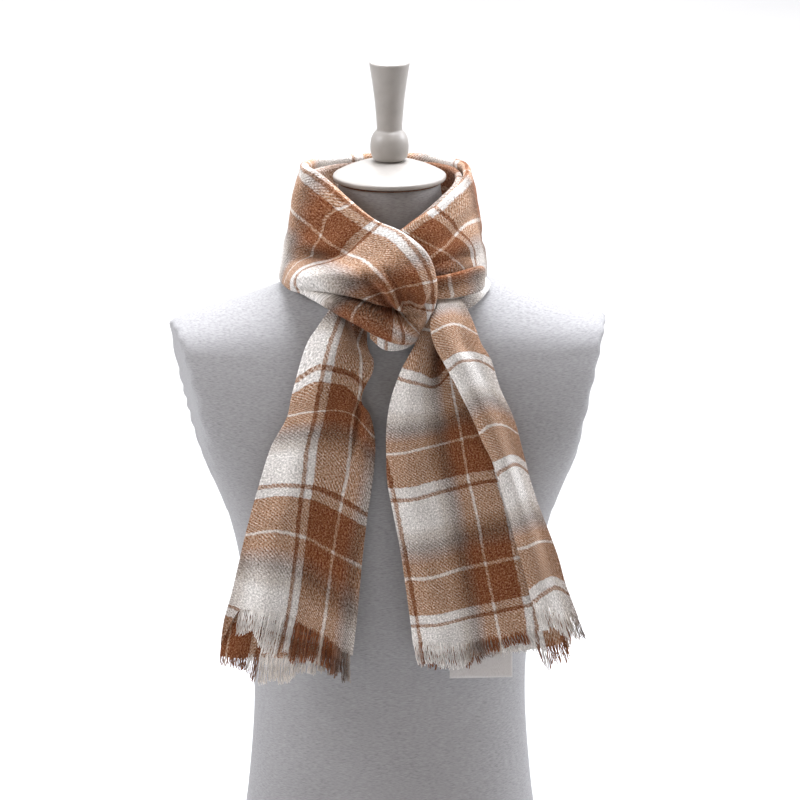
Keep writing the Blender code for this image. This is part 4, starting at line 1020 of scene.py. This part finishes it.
# stretch of hem, lean in mm, seed of the random draws, yarn lengths by share of that stretch
FRINGES = {
    "left_front": (0.10, 0.985, 0.4, 21, ((0, 27), (0.14, 27), (0.2, 42), (0.5, 40), (0.7, 36), (1, 28))),
    "left_back": (0.01, 0.99, 0.4, 22, ((0, 12), (0.22, 17), (0.28, 30), (0.5, 30), (0.62, 18), (1, 18))),
    "right_panel": (0.01, 0.90, 0.5, 23, ((0, 26), (0.42, 25), (0.5, 17), (0.8, 13), (1, 15))),
    "right_roll": (0.05, 0.97, 0.5, 24, ((0, 25), (1, 26))),
    "right_back": (0.01, 0.98, 0.4, 25,
                   ((0, 16), (0.32, 16), (0.4, 6), (0.74, 6), (0.78, 26), (0.9, 24), (1, 18))),
}
fringes = {key: fringe(key, *row) for key, row in FRINGES.items()}
print("yarn faces:", sum(len(made.data.polygons) for made in fringes.values()))

# %% [markdown]
# ## The form's body
# Jersey over a moulded body is a smooth skin: level sections read from a short table, rounded
# where it turns in to the armhole ends. A plane bounds each shoulder, and instead of cutting
# the mesh, points beyond the plane are drawn back onto it, which leaves the soft rim that
# stretched cloth makes. Gathers at that rim and a few drag lines make it cloth and not plaster.

# %% Torso sections
NECK_RADIUS, NECK_TOP = 48.5, 742.4
# height, half width, depth to the front, depth to the back, squareness of the section
TORSO = (
    (0, 165, 100, 105, 2.2), (50, 155, 98, 101, 2.2), (110, 143, 93, 94, 2.2),
    (172, 136, 88.5, 86, 2.2), (233, 132.5, 86.5, 82, 2.2), (300, 135.5, 92, 85, 2.3),
    (360, 144, 100, 92, 2.4), (401, 152, 104, 98, 2.5), (431, 161, 106, 102, 2.6),
    (461, 176, 107.5, 106, 2.5), (491, 198, 108.5, 108, 2.5), (521, 214, 106, 109, 2.5),
    (551, 222, 100, 108, 2.5), (580, 226, 92, 105, 2.4), (595, 224, 87, 102, 2.3),
    (605, 209, 83.5, 99, 2.2), (615, 180, 79, 95, 2.1), (625, 146, 74, 90, 2.05),
    (635, 118, 68, 84, 2.0), (640.5, 103, 64, 78, 2.0), (648, 84, 60, 71, 2.0),
    (660, 69, 56, 63, 2.0), (684, 58, 53, 57, 2.0), (723, 51, 50, 51, 2.0),
    (NECK_TOP, NECK_RADIUS, NECK_RADIUS, NECK_RADIUS, 2.0),
)
SKIN = 0.6             # the skin stays this far inside the solid, clear of the scarf
BASE_ROUND, BASE_TUCK = 5.0, 3.0       # height of the rounded edge underneath, how far it turns in
BASE_RINGS = (0.6, 1.6, 3.0, BASE_ROUND)       # more rings of points on that edge


def torso_sections(levels, around):
    """The skin's points before its ends are shaped, level by level."""
    heights = np.sort([*np.linspace(0, NECK_TOP, levels), *BASE_RINGS])
    table = np.array(TORSO)
    half, front, back, square = smooth(table[:, 0], table[:, 1:], heights).T[..., None]
    heights = heights[:, None]
    turn = np.linspace(0, 2 * math.pi, around, endpoint=False)[None, :]
    c, s = np.cos(turn), np.sin(turn)
    tuck = BASE_TUCK * (1 - np.sqrt(1 - np.clip(1 - heights / BASE_ROUND, 0, 1) ** 2)) + SKIN
    x = (half - tuck) * np.sign(c) * np.abs(c) ** (2 / square)
    y = (np.where(s > 0, back, front) - tuck) * np.sign(s) * np.abs(s) ** (2 / square)
    return np.stack([x, y, np.repeat(heights, around, axis=1)], axis=-1)


print("torso sections:", len(TORSO))

# %% Armhole ends and drag lines
ARMHOLE_TOP = np.array((206.0, 0.0, 597.0))
ARMHOLE_LEAN, ARMHOLE_FACING = math.radians(12.0), math.radians(6.5)
ARMHOLE_FLOOR, ARMHOLE_MIDDLE = 425.0, 520.0       # heights of its lowest point and its middle
SHOULDER = 60.0        # nearer the axis than this, nothing is drawn to an armhole
RIM = 3.5              # softness of the armhole's rim
GATHERS, GATHER_HEIGHT, GATHER_REACH = 17, 0.9, 9.0
# (x, z) of the start and the end, depth, half width, side of the body
WRINKLES = (
    ((-85, 232), (-40, 205), 0.9, 5.0, -1), ((-60, 262), (-20, 240), 0.6, 5.0, -1),
    ((92, 250), (60, 210), 0.8, 5.0, -1), ((112, 300), (70, 268), 0.7, 6.0, -1),
    ((-70, 420), (-110, 380), 0.6, 6.0, 1), ((60, 250), (105, 220), 0.8, 6.0, 1),
    ((-40, 220), (-100, 240), 0.8, 6.0, 1),
)


def armhole_end(points, side):
    """Draw what lies beyond the armhole's plane back onto it, with gathers round its rim."""
    normal = np.array((side * math.cos(ARMHOLE_LEAN) * math.cos(ARMHOLE_FACING),
                       -math.sin(ARMHOLE_FACING), -math.sin(ARMHOLE_LEAN)))
    beyond = (points - ARMHOLE_TOP * (side, 1, 1)) @ normal
    kept = -RIM * np.logaddexp(0, -(beyond + 1.0) / RIM)
    outward = points[..., 0] * side > SHOULDER
    wanted = np.where((points[..., 2] > ARMHOLE_FLOOR) & outward, kept - beyond, 0.0)
    face = np.exp(-((beyond - 6) / GATHER_REACH) ** 2) * (wanted < -1.0)
    around_hole = np.arctan2(points[..., 2] - ARMHOLE_MIDDLE, points[..., 1])
    pleats = GATHER_HEIGHT * np.sin(GATHERS * around_hole + 2 * np.sin(3 * around_hole)) * face
    return points + normal * (wanted + pleats * outward)[..., None]


def drag_lines(points):
    """Low wrinkles in the jersey, each a soft valley that fades out at both ends."""
    for (x0, z0), (x1, z1), deep, half, side in WRINKLES:
        run = np.array((x1 - x0, z1 - z0), float)
        px, pz = points[..., 0] - x0, points[..., 2] - z0
        share = np.clip((px * run[0] + pz * run[1]) / (run @ run), 0, 1)
        away = np.hypot(px - share * run[0], pz - share * run[1])
        on_side = points[..., 1] * side > 30
        points[..., 1] -= side * deep * np.exp(-(away / half) ** 2) * np.sin(math.pi * share) * on_side
    return points


print("drag lines:", len(WRINKLES))

# %% The jersey cover
LEVELS, AROUND = 236, 256
skin = torso_sections(LEVELS, AROUND)
for side in (-1, 1):
    skin = armhole_end(skin, side)
skin = drag_lines(skin)
faces = tube_faces(len(skin), AROUND)
jersey_skin = new_piece("form_jersey_cover", skin.reshape(-1, 3), faces, heather_jersey)
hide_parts("form_torso")
print("jersey cover:", len(jersey_skin.data.polygons), "faces")

# %% [markdown]
# ## Cap and finial
# Both are turned on a lathe, so a profile spun round the axis is how the real ones are made
# too. The profiles follow the solids, with their corners rounded a little.

# %% Turned pieces
CAP_RADIUS = 53.9
# radius and height, from the axis underneath to the axis on top
CAP_PROFILE = (
    (0.5, 742.7), (47.0, 742.7), (50.6, 742.9), (53.2, 743.4), (CAP_RADIUS, 745.0), (CAP_RADIUS, 747.0),
    (53.4, 748.0), (51.0, 749.4), (45.0, 752.6), (34.0, 757.2), (24.0, 760.2), (14.0, 761.6), (0.5, 761.6),
)
FINIAL_PROFILE = (
    (0.5, 762.0), (13.4, 762.0), (14.4, 762.5), (15.6, 763.6), (18.0, 768.5), (18.5, 776.0), (17.4, 784.0),
    (14.4, 789.4), (12.2, 791.0), (12.0, 793.0), (12.4, 800.0), (14.0, 820.0), (17.0, 842.0), (18.9, 853.6),
    (19.1, 855.2), (18.7, 856.5), (17.6, 857.1), (0.5, 857.1),
)
TURNED_AROUND = 96


def turned(name, profile, node):
    """A lathe profile with its corners eased, spun round the neck's axis."""
    marks = np.array(profile)
    fine = np.linspace(0, len(marks) - 1, (len(marks) - 1) * 3 + 1)
    line = np.stack([np.interp(fine, np.arange(len(marks)), marks[:, k]) for k in (0, 1)], axis=-1)
    for _ in range(2):
        line[1:-1] = 0.25 * line[:-2] + 0.5 * line[1:-1] + 0.25 * line[2:]
    angle = np.linspace(0, 2 * math.pi, TURNED_AROUND, endpoint=False)
    points = [(r * math.cos(a), r * math.sin(a), z) for r, z in line for a in angle]
    made = new_piece(name, points, tube_faces(len(line), TURNED_AROUND), satin_paint)
    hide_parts(node)
    print(f"{name}: {len(made.data.polygons)} faces")


turned("turned_neck_cap", CAP_PROFILE, "neck_cap")
turned("turned_finial", FINIAL_PROFILE, "finial")

# %% The brown ring under the cap
BROWN_RING_RADIUS, BROWN_RING_HEIGHT, BROWN_RING_THICK = NECK_RADIUS + 0.6, 741.7, 0.6


def ring_cord(name, finish, around=128, sides=10):
    """A thin cord laid round the neck."""
    points, faces = [], []
    for i in range(around):
        a, on = 2 * math.pi * i / around, (i + 1) % around
        for j in range(sides):
            b, beside = 2 * math.pi * j / sides, (j + 1) % sides
            r = BROWN_RING_RADIUS + BROWN_RING_THICK * math.cos(b)
            points.append((r * math.cos(a), r * math.sin(a), BROWN_RING_HEIGHT + BROWN_RING_THICK * math.sin(b)))
            faces.append((i * sides + j, on * sides + j, on * sides + beside, i * sides + beside))
    return new_piece(name, points, faces, finish)


cap_brown_ring = ring_cord("brown_neck_ring", brown_ring)
print("piping:", len(cap_brown_ring.data.polygons), "faces")

# %% [markdown]
# ## The care label
# A strip of woven satin is sewn behind the right end's hem. It is left blank. It hangs with a
# slight curl, and its edges are heat-cut, so it is a thin bent sheet.

# %% Care label
LABEL_WIDE, LABEL_TALL, LABEL_THICK = 60.0, 44.0, 0.5
LABEL_CORNER = (50.0, -107.8, 323.0)       # its upper left corner, on the front
LABEL_CURL, LABEL_WAVE = 0.5, 0.25         # mm at its lower edge


def care_label(across=24, down=18):
    """A thin bent strip: a grid on each face, joined round its edge."""
    front, back, faces = [], [], []
    for j in range(down + 1):
        for i in range(across + 1):
            s, t = i / across, j / down
            x, z = LABEL_CORNER[0] + s * LABEL_WIDE, LABEL_CORNER[2] - t * LABEL_TALL
            curl = LABEL_CURL * t * t * math.sin(math.pi * s) - LABEL_WAVE * t * math.sin(5 * s)
            y = LABEL_CORNER[1] - curl
            front.append((x, y, z))
            back.append((x, y + LABEL_THICK, z))
    w, n = across + 1, len(front)
    for j in range(down):
        for a in range(j * w, j * w + across):
            faces += [(a, a + w, a + w + 1, a + 1), (n + a, n + a + 1, n + a + w + 1, n + a + w)]
    rim = list(range(w)) + [j * w + across for j in range(1, down + 1)]
    rim += [down * w + i for i in range(across - 1, -1, -1)] + [j * w for j in range(down - 1, 0, -1)]
    faces += [(a, b, n + b, n + a) for a, b in zip(rim, rim[1:] + rim[:1])]
    return new_piece("blank_care_label", front + back, faces, satin)


label = care_label()
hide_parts("care_label")
print("label:", len(label.data.polygons), "faces")

# %% [markdown]
# ## What each cloth was cut to
# A sheet of cloth keeps its area, however it is folded. Each size worked out here is what shows of
# the one scarf: its length along the sheet and its breadth, spread flat. The sizes are not kept.

def flat_size(sheet):
    """Length and area of a sheet's smooth middle, in metres."""
    row, v = np.meshgrid(np.linspace(0, len(sheet.rows) - 1, 120), np.linspace(0, 1, 24), indexing="ij")
    place = sheet.smooth_place(sheet.lifted(row, v), v) * MM
    along, across = np.diff(place, axis=0)[:, :-1], np.diff(place, axis=1)[:-1]
    area = np.linalg.norm(np.cross(along, across), axis=-1).sum()
    length = np.linalg.norm(np.diff(place[:, 12], axis=0), axis=-1).sum()
    return length, area


def declare(sheet):
    """Work out a sheet's length and area, spread flat; nothing is done with them."""
    length, area = flat_size(sheet)


collar, *strands = WOUND_PIECES
declare(WOUND_PIECES[collar][0])
for key, sheet in layers.items():
    declare(sheet)
for name in strands:
    declare(WOUND_PIECES[name][0])

# %% [markdown]
# ## Studio
# The form stands on a pale floor in soft daylight that comes from both sides and from behind,
# so the middle of the front lies in gentle shade. A sky that is brighter to the sides, and the
# more so the higher up, gives that from every angle. Two large lamps add the roundness of the
# shoulders, one lights the form from above, and one keeps the floor behind it pale.

# %% Floor
FLOOR_REACH = 40.0         # half the floor's side in metres, so that its edge is far off


def stage_floor():
    """A wide, matt, pale floor."""
    made = bpy.data.meshes.new("studio_floor")
    corners = [(x * FLOOR_REACH, y * FLOOR_REACH, 0) for x, y in ((-1, -1), (1, -1), (1, 1), (-1, 1))]
    made.from_pydata(corners, [], [(0, 1, 2, 3)])
    matt, tree, shader = blank("matt_pale_floor")
    place = add(tree, "TexCoord").outputs["Object"]
    uneven = add(tree, "TexNoise", {"Vector": place, "Scale": 3.0})
    pale = (0.3, "#CBCBCB"), (0.7, "#CFCFCF")
    feed(shader, {"Base Color": add(tree, "ValToRGB", {"Fac": uneven}, pale), "Roughness": 0.9})
    made.materials.append(matt)
    floor = bpy.data.objects.new("studio_floor", made)
    bpy.context.scene.collection.objects.link(floor)


stage_floor()
print("floor:", 2 * FLOOR_REACH, "m square")

# %% Light
FROM_SIDES, NARROWING = 1.25, 2.5      # strength, and how sharply it falls off towards the front
LOW_SHARE, HIGH_SHARE = 0.2, 1.7       # of that, just under the horizon and well above it
FROM_BEHIND, FROM_ABOVE, FROM_ALL_ROUND = 0.2, 0.22, 0.03


def daylight():
    """A sky that is bright to both sides, less so behind and above, and dim in front."""
    world = bpy.data.worlds.new("studio_daylight")
    bpy.context.scene.world = world
    world.use_nodes = True
    tree = world.node_tree
    axes = add(tree, "SeparateXYZ", {"Vector": add(tree, "TexCoord").outputs["Generated"]})
    x, y, z = (axes.outputs[name] for name in "XYZ")
    sideways = add(tree, "Math", {0: x}, operation="ABSOLUTE")
    sideways = add(tree, "Math", {0: sideways, 1: NARROWING}, operation="POWER")
    raised = add(tree, "MapRange", {"Value": z, "From Min": -0.1, "From Max": 0.7,
                                    "To Min": LOW_SHARE, "To Max": HIGH_SHARE})
    light = add(tree, "Math", {0: sideways, 1: raised}, operation="MULTIPLY")
    light = add(tree, "Math", {0: light, 1: FROM_SIDES, 2: FROM_ALL_ROUND}, operation="MULTIPLY_ADD")
    for axis, strength in ((y, FROM_BEHIND), (z, FROM_ABOVE)):
        part = add(tree, "Math", {0: axis, 1: 0.0}, operation="MAXIMUM")
        light = add(tree, "Math", {0: part, 1: strength, 2: light}, operation="MULTIPLY_ADD")
    room = add(tree, "Math", {0: y, 1: 0.5, 2: 0.5}, operation="MULTIPLY_ADD")
    warm_front = (0.1, "#FFE6D2"), (0.5, "#F1F5FF")
    feed(tree.nodes["Background"], {"Color": add(tree, "ValToRGB", {"Fac": room}, warm_front),
                                    "Strength": light})


# place and target in metres, side in metres, watts, colour
LAMPS = {
    "skylight": ((0.15, 0.2, 2.1), (0, 0, 0.3), 1.0, 50, "#F4F7FF"),
    "left_window": ((-2.3, -0.5, 1.9), (0, 0, 0.5), 1.0, 39, "#F8F9FF"),
    "right_window": ((2.3, 0.4, 1.9), (0, 0, 0.5), 1.0, 46, "#F4F7FF"),
    "background_light": ((0.0, 3.6, 3.2), (0, 3.8, 0), 4.0, 200, "#FFFFFF"),
}


def put(name, data, place, target):
    """A lamp or a camera at a place, in metres, aimed at a target."""
    made = bpy.data.objects.new(name, data)
    made.location = place
    made.rotation_euler = (Vector(target) - Vector(place)).to_track_quat("-Z", "Y").to_euler()
    bpy.context.scene.collection.objects.link(made)
    return made


daylight()
for name, (place, target, side, watts, colour) in LAMPS.items():
    lamp = bpy.data.lights.new(name, "AREA")
    lamp.shape, lamp.size, lamp.energy, lamp.color = "SQUARE", side, watts, linear(colour)[:3]
    put(name, lamp, place, target)
bpy.context.scene.view_settings.view_transform = "Standard"
print("lamps:", ", ".join(LAMPS))

# %% [markdown]
# ## Camera
# It stands 5 m off with a long lens, a little to the onlooker's left and above the form. So far
# off, lines hardly converge, and the shoulders keep their true width beside the nearer scarf.

# %% Camera
CAMERA_PLACE = Vector((-330.77, -4873.18, 1834.74))
CAMERA_TARGET = Vector((6.13, -55.32, 540.64))
FOCAL_LENGTH, SENSOR = 236.8, 36.0

lens = bpy.data.cameras.new("camera")
lens.lens, lens.sensor_width, lens.clip_end = FOCAL_LENGTH, SENSOR, 100.0
bpy.context.scene.camera = put("camera", lens, CAMERA_PLACE * MM, CAMERA_TARGET * MM)
print("lens:", FOCAL_LENGTH, "mm, distance:", round((CAMERA_TARGET - CAMERA_PLACE).length), "mm")
